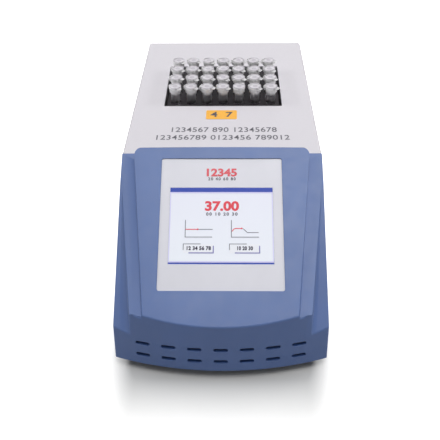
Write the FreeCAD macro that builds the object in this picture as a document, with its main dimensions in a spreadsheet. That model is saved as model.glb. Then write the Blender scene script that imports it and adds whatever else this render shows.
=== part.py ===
import FreeCAD, Part
import os
import Sketcher

# Bench-top dry bath incubator with one lift-out block and a touch display, in millimetres.
# +Z is up, the display looks towards -Y, and the origin is under the middle, on the bench.

V = FreeCAD.Vector
doc = FreeCAD.newDocument("dry_bath")
os.makedirs("parts", exist_ok=True)

# How near two places are taken as the same
TOUCH = 0.01

# Driving dimensions
SIZES = {
    # housing
    "body_width": 148.6,
    "body_length": 332,
    "body_height": 100.4,
    "cover_sheet": 1.2,
    "cover_bend": 2.4,
    "fit_gap": 0.15,
    "window_width": 98,
    "window_depth": 78.5,
    "window_margin": 56.5,
    "lap_gap": 1,
    # front bezel
    "bezel_length": 121.5,
    "bezel_wall": 2.5,
    "front_bulge": 12.3,
    "front_lean": 11.3,
    "shoulder_angle": 30.6,
    "shoulder_corner": 9.2,
    "shoulder_taper": 7,
    "cheek_angle": 37,
    "cheek_setback": 20.7,
    "hood_rise": 5.4,
    "hood_angle": 31.8,
    "hood_width": 130,
    "hood_taper": 6.25,
    "hood_crown": 0.6,
    "hood_slab": 30,
    "hood_corner": 5,
    "tongue_depth": 8,
    "tongue_wall": 1.8,
    "vent_columns": 7,
    "vent_rows": 2,
    "vent_pitch": 17.9,
    "vent_row_pitch": 9.2,
    "vent_length": 10,
    "vent_height": 2.6,
    "vent_level": 7.4,
    # display stack
    "overlay_width": 87.5,
    "overlay_length": 100,
    "overlay_drop": 9.3,
    "overlay_sheet": 0.8,
    "overlay_sink": 0.7,
    "overlay_corner": 1.5,
    "display_width": 74.2,
    "display_length": 58.4,
    "display_margin": 18.7,
    "glass_sheet": 2.6,
    "module_width": 84,
    "module_length": 67,
    "module_depth": 4.4,
    "board_width": 104,
    "board_length": 80,
    "board_sheet": 1.6,
    "board_corner": 2,
    "board_drop": 11,
    "board_inset": 4,
    "rail_inset": 4,
    "rail_width": 3,
    "boss_radius": 3.2,
    "screw_radius": 1.45,
    "screw_head_radius": 2.8,
    "screw_head_height": 2,
    "screw_length": 8,
    "bore_clearance": 0.5,
    "front_post_clearance": 2,
    "front_post_setback": 16,
    "front_post_height": 15,
    # base
    "pan_sheet": 1.2,
    "pan_flange": 16,
    "pan_rear_flange": 12,
    "pan_slot_length": 30,
    "pan_slot_width": 3,
    "pan_slot_spread": 38,
    "pan_slot_pitch": 12,
    "pan_slot_count": 4,
    "cover_screw_level": 9,
    "cover_screw_inset": 26,
    "foot_height": 6,
    "foot_radius": 8,
    "foot_inset": 16,
    "foot_recess": 2.6,
    "foot_draft": 1,
    "head_room": 1,
    "nut_radius": 3.2,
    "nut_height": 2.4,
    # heated well
    "seat_gap": 0.3,
    "block_width": 95.5,
    "block_depth": 76.5,
    "block_height": 49.5,
    "block_recess": 2.4,
    "block_chamfer": 0.8,
    "well_columns": 7,
    "well_rows": 4,
    "column_pitch": 13.4,
    "row_pitch": 17.5,
    "well_radius": 4.2,
    "lifter_radius": 2.1,
    "lifter_depth": 20,
    "probe_radius": 2,
    "probe_depth": 24,
    "probe_tail": 16,
    "liner_sheet": 0.8,
    "liner_flange": 5,
    "plate_height": 9,
    "mat_sheet": 1.5,
    "clamp_sheet": 1.5,
    "pad_height": 10,
    "post_radius": 3.5,
    "post_inset": 8,
    "stud_bite": 5.4,
    "collar_radius": 5.2,
    "jacket_wall": 10,
    "tray_sheet": 1,
    "tray_flange": 15,
    "cutout_radius": 8,
    "cutout_height": 9,
    "blade_sheet": 0.8,
    "blade_width": 6,
    "blade_reach": 3,
    "blade_pitch": 9,
    # tubes
    "tube_length": 31,
    "tube_stand": 14.5,
    "tube_radius": 3.9,
    "tube_tip_radius": 2.2,
    "tube_taper_length": 6,
    "tube_sides": 12,
    "cap_radius": 5.2,
    "cap_height": 3,
    "cap_tab_width": 4.6,
    "cap_tab_reach": 7.6,
    "cap_tab_sheet": 1,
    "cap_hinge_width": 3.4,
    "cap_hinge_reach": 6.6,
    "cap_turn_angle": 40,
    "cap_swing_angle": 4,
    # power side
    "rear_reach": 4,
    "flange_sheet": 3,
    "inlet_offset": 30,
    "inlet_level": 31,
    "inlet_width": 50,
    "inlet_height": 33,
    "inlet_body_width": 30,
    "inlet_lip": 1.2,
    "inlet_depth": 26,
    "inlet_screw_spread": 40,
    "socket_width": 24.4,
    "socket_height": 17,
    "socket_depth": 17,
    "socket_corner": 4,
    "socket_rise": 4.4,
    "pin_width": 2,
    "pin_height": 4,
    "pin_length": 14,
    "pin_pitch": 14,
    "pin_tail": 8,
    "drawer_width": 20,
    "drawer_height": 7,
    "drawer_depth": 24,
    "drawer_drop": 9.9,
    "drawer_gap": 0.3,
    "drawer_wall": 1,
    "fuse_radius": 2.5,
    "fuse_length": 20,
    "fuse_pitch": 8,
    "switch_offset": 34,
    "switch_flange": 2,
    "switch_width": 15,
    "switch_height": 21,
    "switch_lip": 1,
    "switch_depth": 14,
    "switch_tail": 8,
    "rocker_width": 9.6,
    "rocker_height": 16,
    "rocker_gap": 0.8,
    "rocker_angle": 10,
    "rocker_crown": 3.2,
    "rocker_lip": 2,
    "rocker_back": 3,
    "rocker_set_in": 1,
    "rocker_pin_radius": 1.2,
    "running_gap": 0.1,
    "cut_margin": 1,
    # power board
    "power_width": 118,
    "power_length": 44,
    "power_level": 8,
    "power_inset": 5,
    "power_gap": 3,
    "standoff_bite": 3.2,
    "capacitor_radius": 5,
    "transformer_width": 32,
    "transformer_length": 27,
    "transformer_height": 24,
    "bobbin_inset": 4,
    "bobbin_reach": 3,
}

sheet = doc.addObject("Spreadsheet::Sheet", "sizes")
for row, (name, size) in enumerate(SIZES.items(), start=1):
    cell = "A%d" % row
    sheet.set(cell, str(size))
    sheet.setAlias(cell, name)
doc.recompute()

nodes = []
fasteners = {"flat_head_screws": [], "base_screws": [], "board_screws": [], "hex_nuts": [], "spacers": []}


def turned_about(x, y, z):
    """A placement turned about one axis, whose angle a size then takes over."""
    return FreeCAD.Placement(V(), FreeCAD.Rotation(V(x, y, z), 1))


def value(expression):
    """The number that an expression over the sizes has now."""
    number = doc.getObject("sizes").evalExpression(expression.replace("sizes.", ""))
    return float(number)


def tie(piece, ties):
    """Bind each named property of a piece to an expression over the sizes."""
    for name, expression in ties.items():
        piece.setExpression(name, expression)


def node(label, piece):
    """Name a finished sub-part and list it for export."""
    piece.Label = label
    nodes.append(piece)
    return piece


# Places that several pieces share
FRONT = "(-(sizes.body_length + sizes.rear_reach) / 2)"
BACK = "(%s + sizes.body_length)" % FRONT
JUNCTION = "(%s + sizes.bezel_length)" % FRONT
CORNER = "(%s + sizes.front_bulge)" % FRONT
HALF = "(sizes.body_width / 2)"
BOTTOM = "sizes.foot_height"
TOP = "(sizes.foot_height + sizes.body_height)"
FLOOR = "(sizes.foot_height + sizes.pan_sheet)"
WINDOW_BACK = "(%s - sizes.window_margin)" % BACK
WELL_Y = "(%s - sizes.window_depth / 2)" % WINDOW_BACK
BLOCK_TOP = "(%s - sizes.block_recess)" % TOP
BLOCK_FOOT = "(%s - sizes.block_height)" % BLOCK_TOP
PLATE_TOP = "(%s - sizes.seat_gap)" % BLOCK_FOOT
PLATE_FOOT = "(%s - sizes.plate_height)" % PLATE_TOP
MAT_FOOT = "(%s - sizes.mat_sheet)" % PLATE_FOOT
CLAMP_FOOT = "(%s - sizes.clamp_sheet)" % MAT_FOOT
TRAY_FACE = "(%s - sizes.pad_height)" % CLAMP_FOOT
TRAY_FOOT = "(%s - sizes.tray_sheet)" % TRAY_FACE
LINER_HALF_X = "(sizes.window_width / 2 + sizes.liner_sheet)"
LINER_HALF_Y = "(sizes.window_depth / 2 + sizes.liner_sheet)"
JACKET_HALF_X = "(%s + sizes.fit_gap + sizes.jacket_wall)" % LINER_HALF_X
JACKET_HALF_Y = "(%s + sizes.fit_gap + sizes.jacket_wall)" % LINER_HALF_Y
JACKET_TOP = "(%s - sizes.cover_sheet - sizes.liner_sheet - 2 * sizes.fit_gap)" % TOP
TRAY_HALF_X = "(%s + sizes.fit_gap + sizes.tray_sheet)" % JACKET_HALF_X
TRAY_HALF_Y = "(%s + sizes.fit_gap + sizes.tray_sheet)" % JACKET_HALF_Y
CREST = "(%s + sizes.hood_rise)" % TOP
OPEN_END = "(sizes.body_height / 10)"
HIGH = "(%s + %s)" % (CREST, OPEN_END)


# Outlines
TURNS = {
    "XY": FreeCAD.Rotation(),
    "XZ": FreeCAD.Rotation(V(1, 0, 0), 90),
    "YZ": FreeCAD.Rotation(V(1, 1, 1), 120),
}
NORMALS = {"XY": "z", "XZ": "y", "YZ": "x"}


def draw(sketch, corners, arcs):
    """Close an outline through its corners.

    An arc has a point that it passes, and its radius or, for a half circle, its centre's u.
    """
    places = [V(value(u), value(v), 0) for u, v in corners]
    ends = []
    for index, start in enumerate(places):
        finish = places[(index + 1) % len(places)]
        if index in arcs:
            middle_u, middle_v = arcs[index][:2]
            middle = V(value(middle_u), value(middle_v), 0)
            sketch.addGeometry(Part.Arc(start, middle, finish), False)
        else:
            sketch.addGeometry(Part.LineSegment(start, finish), False)
        forward = sketch.getPoint(index, 1).distanceToPoint(start) < TOUCH
        ends.append((1, 2) if forward else (2, 1))
    for index in range(len(places)):
        after = (index + 1) % len(places)
        joint = Sketcher.Constraint("Coincident", index, ends[index][1], after, ends[after][0])
        sketch.addConstraint(joint)
    for index, (u, v) in enumerate(corners):
        for kind, letter, expression in (("DistanceX", "u", u), ("DistanceY", "v", v)):
            size = value(expression)
            rule = Sketcher.Constraint(kind, -1, 1, index, ends[index][0], size)
            number = sketch.addConstraint(rule)
            label = "%s%d" % (letter, index)
            sketch.renameConstraint(number, label)
            sketch.setExpression("Constraints." + label, expression)
    for index, arc in arcs.items():
        if arc[2] == "centre":
            rule = Sketcher.Constraint("DistanceX", -1, 1, index, 3, value(arc[3]))
        else:
            rule = Sketcher.Constraint("Radius", index, value(arc[3]))
        number = sketch.addConstraint(rule)
        label = "arc%d" % index
        sketch.renameConstraint(number, label)
        sketch.setExpression("Constraints." + label, arc[3])
    return sketch


def outline(name, plane, level, corners, arcs=None):
    """A free outline on a plane parallel to XY, XZ or YZ at a level along its axis."""
    sketch = doc.addObject("Sketcher::SketchObject", name)
    sketch.Placement = FreeCAD.Placement(V(), TURNS[plane])
    tie(sketch, {"Placement.Base." + NORMALS[plane]: level})
    return draw(sketch, corners, arcs or {})


def feature_outline(body, name, plane, level, corners, arcs=None):
    """An outline on one of a body's own origin planes, moved along that plane's axis."""
    role = plane + "_Plane"
    support = [face for face in body.Origin.OriginFeatures if face.Role == role][0]
    sketch = body.newObject("Sketcher::SketchObject", name)
    sketch.AttachmentSupport = (support, "")
    sketch.MapMode = "FlatFace"
    sign = "-" if plane == "XZ" else ""
    tie(sketch, {"AttachmentOffset.Base.z": "%s(%s)" % (sign, level)})
    return draw(sketch, corners, arcs or {})


def rectangle(u_low, u_high, v_low, v_high):
    return [(u_low, v_low), (u_high, v_low), (u_high, v_high), (u_low, v_high)]


def rounded(u_low, u_high, v_low, v_high, radius):
    """Corners and arcs of a rectangle with round corners."""
    bit = "(%s) * (1 - cos(45))" % radius
    corners = [
        ("%s + %s" % (u_low, radius), v_low),
        ("%s - %s" % (u_high, radius), v_low),
        (u_high, "%s + %s" % (v_low, radius)),
        (u_high, "%s - %s" % (v_high, radius)),
        ("%s - %s" % (u_high, radius), v_high),
        ("%s + %s" % (u_low, radius), v_high),
        (u_low, "%s - %s" % (v_high, radius)),
        (u_low, "%s + %s" % (v_low, radius)),
    ]
    arcs = {
        1: ("%s - %s" % (u_high, bit), "%s + %s" % (v_low, bit), "radius", radius),
        3: ("%s - %s" % (u_high, bit), "%s - %s" % (v_high, bit), "radius", radius),
        5: ("%s + %s" % (u_low, bit), "%s - %s" % (v_high, bit), "radius", radius),
        7: ("%s + %s" % (u_low, bit), "%s + %s" % (v_low, bit), "radius", radius),
    }
    return corners, arcs


def slot(u, v, length, width):
    """Corners and arcs of a slot with round ends, centred at u and v and long along u."""
    radius = "(%s) / 2" % width
    straight = "((%s - %s) / 2)" % (length, width)
    corners = rectangle("%s - %s" % (u, straight), "%s + %s" % (u, straight),
                        "%s - %s" % (v, radius), "%s + %s" % (v, radius))
    arcs = {
        1: ("%s + %s / 2" % (u, length), v, "centre", "%s + %s" % (u, straight)),
        3: ("%s - %s / 2" % (u, length), v, "centre", "%s - %s" % (u, straight)),
    }
    return corners, arcs


# Plain solids and how they combine
def extrude(name, sketch, direction, length, symmetric=False):
    piece = doc.addObject("Part::Extrusion", name)
    piece.Base = sketch
    piece.DirMode = "Custom"
    piece.Dir = V(*direction)
    piece.Solid = True
    piece.Symmetric = symmetric
    tie(piece, {"LengthFwd": length})
    return piece


def box(name, corner, size):
    piece = doc.addObject("Part::Box", name)
    tie(piece, dict(zip(("Length", "Width", "Height"), size)))
    tie(piece, dict(zip(("Placement.Base.x", "Placement.Base.y", "Placement.Base.z"), corner)))
    return piece


ALONG = {
    "+z": FreeCAD.Rotation(),
    "-z": FreeCAD.Rotation(V(1, 0, 0), 180),
    "+y": FreeCAD.Rotation(V(1, 0, 0), -90),
    "-y": FreeCAD.Rotation(V(1, 0, 0), 90),
    "+x": FreeCAD.Rotation(V(0, 1, 0), 90),
    "-x": FreeCAD.Rotation(V(0, 1, 0), -90),
}


def rod(name, foot, radius, length, along="+z"):
    piece = doc.addObject("Part::Cylinder", name)
    piece.Placement = FreeCAD.Placement(V(), ALONG[along])
    tie(piece, {"Radius": radius, "Height": length})
    tie(piece, dict(zip(("Placement.Base.x", "Placement.Base.y", "Placement.Base.z"), foot)))
    return piece


def cone(name, foot, radius_low, radius_high, length, along="+z"):
    piece = doc.addObject("Part::Cone", name)
    piece.Placement = FreeCAD.Placement(V(), ALONG[along])
    tie(piece, {"Radius1": radius_low, "Radius2": radius_high, "Height": length})
    tie(piece, dict(zip(("Placement.Base.x", "Placement.Base.y", "Placement.Base.z"), foot)))
    return piece


def fuse(name, pieces):
    piece = doc.addObject("Part::MultiFuse", name)
    piece.Shapes = pieces
    return piece


def common(name, first, second):
    piece = doc.addObject("Part::Common", name)
    piece.Base = first
    piece.Tool = second
    return piece


def cut(name, base, tools):
    piece = doc.addObject("Part::Cut", name)
    piece.Base = base
    piece.Tool = tools[0] if len(tools) == 1 else fuse(name + "_tools", tools)
    return piece


def group(name, pieces):
    """Separate solids that share one node."""
    piece = doc.addObject("Part::Compound", name)
    piece.Links = pieces
    return piece


def box_about(name, middle_x, middle_y, half_x, half_y, low, high):
    """A box about a vertical axis, between two levels."""
    corner = ("%s - (%s)" % (middle_x, half_x), "%s - (%s)" % (middle_y, half_y), low)
    return box(name, corner, ("2 * (%s)" % half_x, "2 * (%s)" % half_y, "%s - (%s)" % (high, low)))


def well_box(name, half_x, half_y, low, high):
    """A box about the well's axis, between two levels."""
    return box_about(name, "0", WELL_Y, half_x, half_y, low, high)


def flat_screw(name, foot, along, head="sizes.cover_sheet", length="sizes.screw_length"):
    """A countersunk screw; the foot is the middle of its flat head."""
    top = cone(name + "_head", foot, "sizes.screw_head_radius", "sizes.screw_radius", head, along)
    shank = rod(name + "_shank", foot, "sizes.screw_radius", length, along)
    return fuse(name, [top, shank])


def nut(name, foot, along):
    body = doc.addObject("Part::Prism", name + "_body")
    body.Polygon = 6
    body.Placement = FreeCAD.Placement(V(), ALONG[along])
    tie(body, {"Circumradius": "sizes.nut_radius", "Height": "sizes.nut_height"})
    tie(body, dict(zip(("Placement.Base.x", "Placement.Base.y", "Placement.Base.z"), foot)))
    return cut(name, body, [rod(name + "_bore", foot, "sizes.screw_radius", "sizes.nut_height", along)])


def screw(name, foot, along, length="sizes.screw_length"):
    """A pan head screw; its head rests at the foot and its shank runs along."""
    opposite = {"+": "-", "-": "+"}[along[0]] + along[1]
    head = rod(name + "_head", foot, "sizes.screw_head_radius", "sizes.screw_head_height", opposite)
    shank = rod(name + "_shank", foot, "sizes.screw_radius", length, along)
    return fuse(name, [head, shank])


# The hood's own frame: across, down its slope from the top edge, and out along its normal
def on_hood(piece, across, down, out):
    piece.Placement = turned_about(1, 0, 0)
    tie(piece, {
        "Placement.Rotation.Angle": "sizes.hood_angle",
        "Placement.Base.x": across,
        "Placement.Base.y": "%s - (%s) * cos(sizes.hood_angle) - (%s) * sin(sizes.hood_angle)"
                            % (JUNCTION, down, out),
        "Placement.Base.z": "%s - (%s) * sin(sizes.hood_angle) + (%s) * cos(sizes.hood_angle)"
                            % (CREST, down, out),
    })
    return piece


def hood_plate(name, width, length, down, out, thickness, corner):
    """A plate with round corners that lies parallel to the hood, its back face at out."""
    sketch = doc.addObject("Sketcher::SketchObject", name + "_outline")
    corners, arcs = rounded("-%s / 2" % width, "%s / 2" % width, "0", length, corner)
    draw(sketch, corners, arcs)
    on_hood(sketch, "0", "%s + %s" % (down, length), out)
    piece = doc.addObject("Part::Extrusion", name)
    piece.Base = sketch
    piece.DirMode = "Normal"
    piece.Solid = True
    tie(piece, {"LengthFwd": thickness})
    return piece


def hood_box(name, across, down, out, size):
    piece = doc.addObject("Part::Box", name)
    tie(piece, dict(zip(("Length", "Width", "Height"), size)))
    return on_hood(piece, across, "%s + %s" % (down, size[1]), out)


def hood_rod(name, across, down, out, radius, length):
    piece = doc.addObject("Part::Cylinder", name)
    tie(piece, {"Radius": radius, "Height": length})
    return on_hood(piece, across, down, out)


# Front bezel: three tiers under sloping planes, trimmed by a leaning front that bulges in plan
def wedge(name, angle, setback, skin, overrun):
    """The space under the shoulder's slope and then a steeper one, across the whole body."""
    drop = "(%s) / cos(%s)" % (skin, angle)
    rear = "%s + %s" % (JUNCTION, overrun)
    nose = "%s - %s" % (FRONT, OPEN_END)
    knee_y = "(%s - %s)" % (JUNCTION, setback)
    knee_z = "(%s - %s * tan(sizes.shoulder_angle) - %s)" % (TOP, setback, drop)
    nose_z = "(%s - (%s - (%s)) * tan(%s))" % (knee_z, knee_y, nose, angle)
    low = "%s - %s" % (BOTTOM, overrun)
    corners = [
        (rear, low),
        (rear, "%s - %s" % (TOP, drop)),
        (JUNCTION, "%s - %s" % (TOP, drop)),
        (knee_y, knee_z),
        (nose, nose_z),
        (nose, low),
    ]
    if overrun == "0":
        corners.pop(1)
    sketch = outline(name + "_side", "YZ", "0", corners)
    return extrude(name, sketch, (1, 0, 0), "sizes.body_width * 2", symmetric=True)


def shoulder_plan(name, skin, overrun):
    half = "(%s - %s)" % (HALF, skin)
    nose = "(%s - %s)" % (FRONT, OPEN_END)
    turn = "(%s - sizes.shoulder_corner)" % JUNCTION
    nose_half = "(%s - (%s - %s) * tan(sizes.shoulder_taper))" % (half, turn, nose)
    rear = "%s + %s" % (JUNCTION, overrun)
    corners = [
        ("-" + half, rear), ("-" + half, turn), ("-" + nose_half, nose),
        (nose_half, nose), (half, turn), (half, rear),
    ]
    sketch = outline(name + "_plan", "XY", "0", corners)
    return extrude(name, sketch, (0, 0, 1), HIGH)


def hood_plan(name, skin):
    half = "(sizes.hood_width / 2 - %s)" % skin
    radius = "(sizes.hood_corner - %s)" % skin
    rear = "(%s - %s)" % (JUNCTION, skin)
    nose = "(%s - %s)" % (FRONT, OPEN_END)
    nose_half = "(%s - (%s - %s) * tan(sizes.hood_taper))" % (half, rear, nose)
    side = "(%s - %s * tan(sizes.hood_taper))" % (half, radius)
    bit = "%s * (1 - cos(45))" % radius
    corners = [
        ("-" + nose_half, nose), (nose_half, nose),
        (side, "%s - %s" % (rear, radius)), ("%s - %s" % (half, radius), rear),
        ("-(%s - %s)" % (half, radius), rear), ("-" + side, "%s - %s" % (rear, radius)),
    ]
    arcs = {
        2: ("%s - %s" % (half, bit), "%s - %s" % (rear, bit), "radius", radius),
        4: ("-(%s - %s)" % (half, bit), "%s - %s" % (rear, bit), "radius", radius),
    }
    sketch = outline(name + "_plan", "XY", "0", corners, arcs)
    return extrude(name, sketch, (0, 0, 1), HIGH)


def hood_crown(name, skin):
    """A crowned slab that runs down the hood's slope."""
    drop = "(%s) / cos(sizes.hood_angle)" % skin
    crest = "(%s - %s)" % (CREST, drop)
    side = "(%s - sizes.hood_crown)" % crest
    low = "(%s - sizes.hood_slab)" % side
    radius = "((%s * %s + sizes.hood_crown * sizes.hood_crown) / (2 * sizes.hood_crown))" % (HALF, HALF)
    corners = rectangle("-" + HALF, HALF, low, side)
    sketch = outline(name + "_section", "XZ", JUNCTION, corners, {2: ("0", crest, "radius", radius)})
    piece = extrude(name, sketch, (0, -1, -1), "2 * sizes.bezel_length")
    tie(piece, {"Dir.y": "-cos(sizes.hood_angle)", "Dir.z": "-sin(sizes.hood_angle)"})
    return piece


FRONT_RADIUS = "((%s * %s + sizes.front_bulge * sizes.front_bulge) / (2 * sizes.front_bulge))" % (HALF, HALF)


def front_arc(skin):
    """Half width, corner and middle of the front arc, moved in by a skin, with its radius."""
    half = "(%s - %s)" % (HALF, skin)
    radius = "(%s - %s)" % (FRONT_RADIUS, skin)
    middle = "(%s + %s)" % (FRONT, skin)
    corner = "(%s + %s - sqrt(%s * %s - %s * %s))" % (middle, radius, radius, radius, half, half)
    return half, corner, middle, radius


def leaning_front(name, skin, overrun):
    """All that lies behind the leaning, bulging front and between the sides."""
    half, corner, middle, radius = front_arc(skin)
    rear = "%s + %s" % (JUNCTION, OPEN_END)
    corners = [("-" + half, rear), ("-" + half, corner), (half, corner), (half, rear)]
    arcs = {1: ("0", middle, "radius", radius)}
    sketch = outline(name + "_plan", "XY", "%s - %s" % (BOTTOM, overrun), corners, arcs)
    tie(sketch, {"Placement.Base.y": "-%s * tan(sizes.front_lean)" % overrun})
    piece = extrude(name, sketch, (0, 1, 1), "%s / cos(sizes.front_lean)" % HIGH)
    tie(piece, {"Dir.y": "tan(sizes.front_lean)"})
    return piece


def bezel_form(name, skin, overrun):
    """The bezel's outer form, or with a skin the hollow inside it."""
    cheeks = wedge(name + "_cheeks", "sizes.cheek_angle", "sizes.cheek_setback", skin, overrun)
    slope = wedge(name + "_slope", "sizes.shoulder_angle", "sizes.cheek_setback", skin, overrun)
    shoulders = common(name + "_shoulders", slope, shoulder_plan(name + "_between", skin, overrun))
    hood = common(name + "_hood", hood_crown(name + "_crown", skin), hood_plan(name + "_top", skin))
    tiers = fuse(name + "_tiers", [cheeks, shoulders, hood])
    return common(name, tiers, leaning_front(name + "_front", skin, overrun))


OVERLAY_BACK = "(-sizes.overlay_sink - sizes.overlay_sheet)"
DISPLAY_DOWN = "(sizes.overlay_drop + sizes.overlay_length - sizes.display_margin - sizes.display_length)"
GLASS_BACK = "(-sizes.overlay_sink - sizes.glass_sheet)"
MODULE_BACK = "(%s - sizes.module_depth)" % GLASS_BACK
BOARD_FACE = "(-sizes.board_drop)"
MODULE_DOWN = "(%s + (sizes.display_length - sizes.module_length) / 2)" % DISPLAY_DOWN
BOARD_DOWN = "(%s + (sizes.display_length - sizes.board_length) / 2)" % DISPLAY_DOWN


def board_corners():
    """Where the control board is screwed down, across and down the hood."""
    across = "(sizes.board_width / 2 - sizes.board_inset)"
    for side in ("-", ""):
        for down in ("%s + sizes.board_inset" % BOARD_DOWN,
                     "%s + sizes.board_length - sizes.board_inset" % BOARD_DOWN):
            yield side + across, down


def front_posts():
    """Where the base pan is screwed to the bezel, inwards of the front feet."""
    inset = ("(sizes.foot_inset + sizes.foot_radius + sizes.screw_head_radius"
             " + sizes.front_post_clearance)")
    for side in ("-", ""):
        yield "%s(%s - %s)" % (side, HALF, inset), "(%s + sizes.front_post_setback)" % CORNER


def bezel():
    shell = cut("bezel_shell", bezel_form("bezel_outer", "0", "0"),
                [bezel_form("bezel_inner", "sizes.bezel_wall", "1")])
    tongue_side = "(%s - sizes.cover_sheet - sizes.fit_gap)" % HALF
    tongue_top = "(%s - sizes.cover_sheet - sizes.fit_gap)" % TOP
    lap = "(%s - sizes.bezel_wall)" % JUNCTION
    reach = "sizes.tongue_depth + sizes.bezel_wall"
    level = "(%s + sizes.cover_bend)" % BOTTOM
    corners, arcs = rounded("-" + tongue_side, tongue_side, level, tongue_top, "sizes.cover_bend")
    outer = extrude("tongue_outer", outline("tongue_outline", "XZ", lap, corners, arcs), (0, 1, 0), reach)
    inner_side = "(%s - sizes.tongue_wall)" % tongue_side
    corners, arcs = rounded("-" + inner_side, inner_side, "(%s - %s)" % (level, OPEN_END),
                            "(%s - sizes.tongue_wall)" % tongue_top,
                            "(sizes.cover_bend - sizes.tongue_wall / 2)")
    inline = outline("tongue_inline", "XZ", lap + " - sizes.cut_margin", corners, arcs)
    inner = extrude("tongue_inner", inline, (0, 1, 0), reach + " + 2 * sizes.cut_margin")
    tongue = cut("tongue", outer, [inner])
    slope_trim = wedge("tongue_trim", "sizes.shoulder_angle", "sizes.cheek_setback", "sizes.fit_gap",
                       "2 * sizes.tongue_depth")
    additions = [shell, common("tongue_trimmed", tongue, slope_trim)]
    holes = []
    for index, (across, down) in enumerate(board_corners()):
        name = "board_boss_%d" % index
        additions.append(hood_rod(name, across, down, BOARD_FACE, "sizes.boss_radius",
                                  "sizes.board_drop - sizes.bezel_wall"))
        holes.append(hood_rod(name + "_bore", across, down, BOARD_FACE, "sizes.screw_radius",
                              "sizes.screw_length - sizes.board_sheet + sizes.bore_clearance"))
    for index, (x, y) in enumerate(front_posts()):
        name = "front_post_%d" % index
        additions.append(rod(name, (x, y, FLOOR), "sizes.boss_radius", "sizes.front_post_height"))
        holes.append(rod(name + "_bore", (x, y, BOTTOM), "sizes.screw_radius",
                         "sizes.screw_length + sizes.bore_clearance"))
        additions.append(box("front_rib_%d" % index, (x + " - sizes.bezel_wall / 2", FRONT, FLOOR),
                             ("sizes.bezel_wall", "%s - %s" % (y, FRONT), "sizes.front_post_height")))
    solid = common("bezel_solid", fuse("bezel_added", additions), bezel_keep())
    holes.append(hood_plate("overlay_recess", "(sizes.overlay_width + 2 * sizes.fit_gap)",
                            "(sizes.overlay_length + 2 * sizes.fit_gap)",
                            "(sizes.overlay_drop - sizes.fit_gap)", OVERLAY_BACK, "2 * sizes.bezel_wall",
                            "(sizes.overlay_corner + sizes.fit_gap)"))
    holes.append(hood_box("display_opening", "-(sizes.display_width / 2 + sizes.fit_gap)",
                          "(%s - sizes.fit_gap)" % DISPLAY_DOWN, "(%s - sizes.bezel_wall)" % OVERLAY_BACK,
                          ("sizes.display_width + 2 * sizes.fit_gap",
                           "sizes.display_length + 2 * sizes.fit_gap", "2 * sizes.bezel_wall")))
    opened = cut("bezel_opened", solid, holes)
    body = doc.addObject("PartDesign::Body", "front_bezel")
    body.BaseFeature = opened
    first = "(-(sizes.vent_columns - 1) / 2 * sizes.vent_pitch)"
    low = "(%s + sizes.vent_level)" % BOTTOM
    corners, arcs = slot(first, low, "sizes.vent_length", "sizes.vent_height")
    sketch = feature_outline(body, "vent_outline", "XZ", JUNCTION, corners, arcs)
    vent = pocket(body, "vent_slot", sketch, "sizes.bezel_length + " + OPEN_END, reversed_=True)
    pattern(body, "vents", vent, (("X_Axis", "sizes.vent_columns", "sizes.vent_pitch"),
                                  ("Z_Axis", "sizes.vent_rows", "sizes.vent_row_pitch")))
    return node("front_bezel", body)


def bezel_keep():
    """What the bezel may fill: its outer form, and the cover's mouth behind it."""
    mouth = box("bezel_mouth", ("-" + HALF, JUNCTION, BOTTOM),
                ("sizes.body_width", "sizes.tongue_depth", "sizes.body_height"))
    return fuse("bezel_keep", [bezel_form("bezel_limit", "0", "0"), mouth])


def pattern(body, name, feature, directions):
    """Repeat a feature along a body's own axes."""
    turns = []
    for index, (role, count, pitch) in enumerate(directions):
        axis = [line for line in body.Origin.OriginFeatures if line.Role == role][0]
        line = doc.addObject("PartDesign::LinearPattern", "%s_line_%d" % (name, index))
        line.Direction = (axis, [""])
        tie(line, {"Length": "(%s - 1) * %s" % (count, pitch), "Occurrences": count})
        turns.append(line)
    piece = body.newObject("PartDesign::MultiTransform", name)
    piece.Originals = [feature]
    piece.Transformations = turns
    body.Tip = piece
    return piece


# Sheet cover with the window over the well
def cover_screw_places():
    level = "(%s + sizes.cover_screw_level)" % BOTTOM
    first = "(%s + sizes.tongue_depth + sizes.cover_screw_inset / 2)" % JUNCTION
    last = "(%s - sizes.cover_screw_inset)" % BACK
    for y in (first, "(%s + %s) / 2" % (first, last), last):
        yield "-" + HALF, y, level, "+x"
        yield HALF, y, level, "-x"


INLET_X = "(-sizes.inlet_offset)"
INLET_Z = "(sizes.foot_height + sizes.inlet_level)"
INLET_HALF_X = "(sizes.inlet_body_width / 2)"
INLET_HALF_Z = "(sizes.inlet_height / 2 - sizes.inlet_lip)"
SWITCH_X = "sizes.switch_offset"
SWITCH_HALF_X = "(sizes.switch_width / 2 - sizes.switch_lip)"
SWITCH_HALF_Z = "(sizes.switch_height / 2 - sizes.switch_lip)"


def rear_rectangle(middle_x, half_x, half_z, gap):
    """An opening in the back wall about the height of the inlet and the switch."""
    return rectangle("%s - %s - %s" % (middle_x, half_x, gap), "%s + %s + %s" % (middle_x, half_x, gap),
                     "%s - %s - %s" % (INLET_Z, half_z, gap), "%s + %s + %s" % (INLET_Z, half_z, gap))


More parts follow.
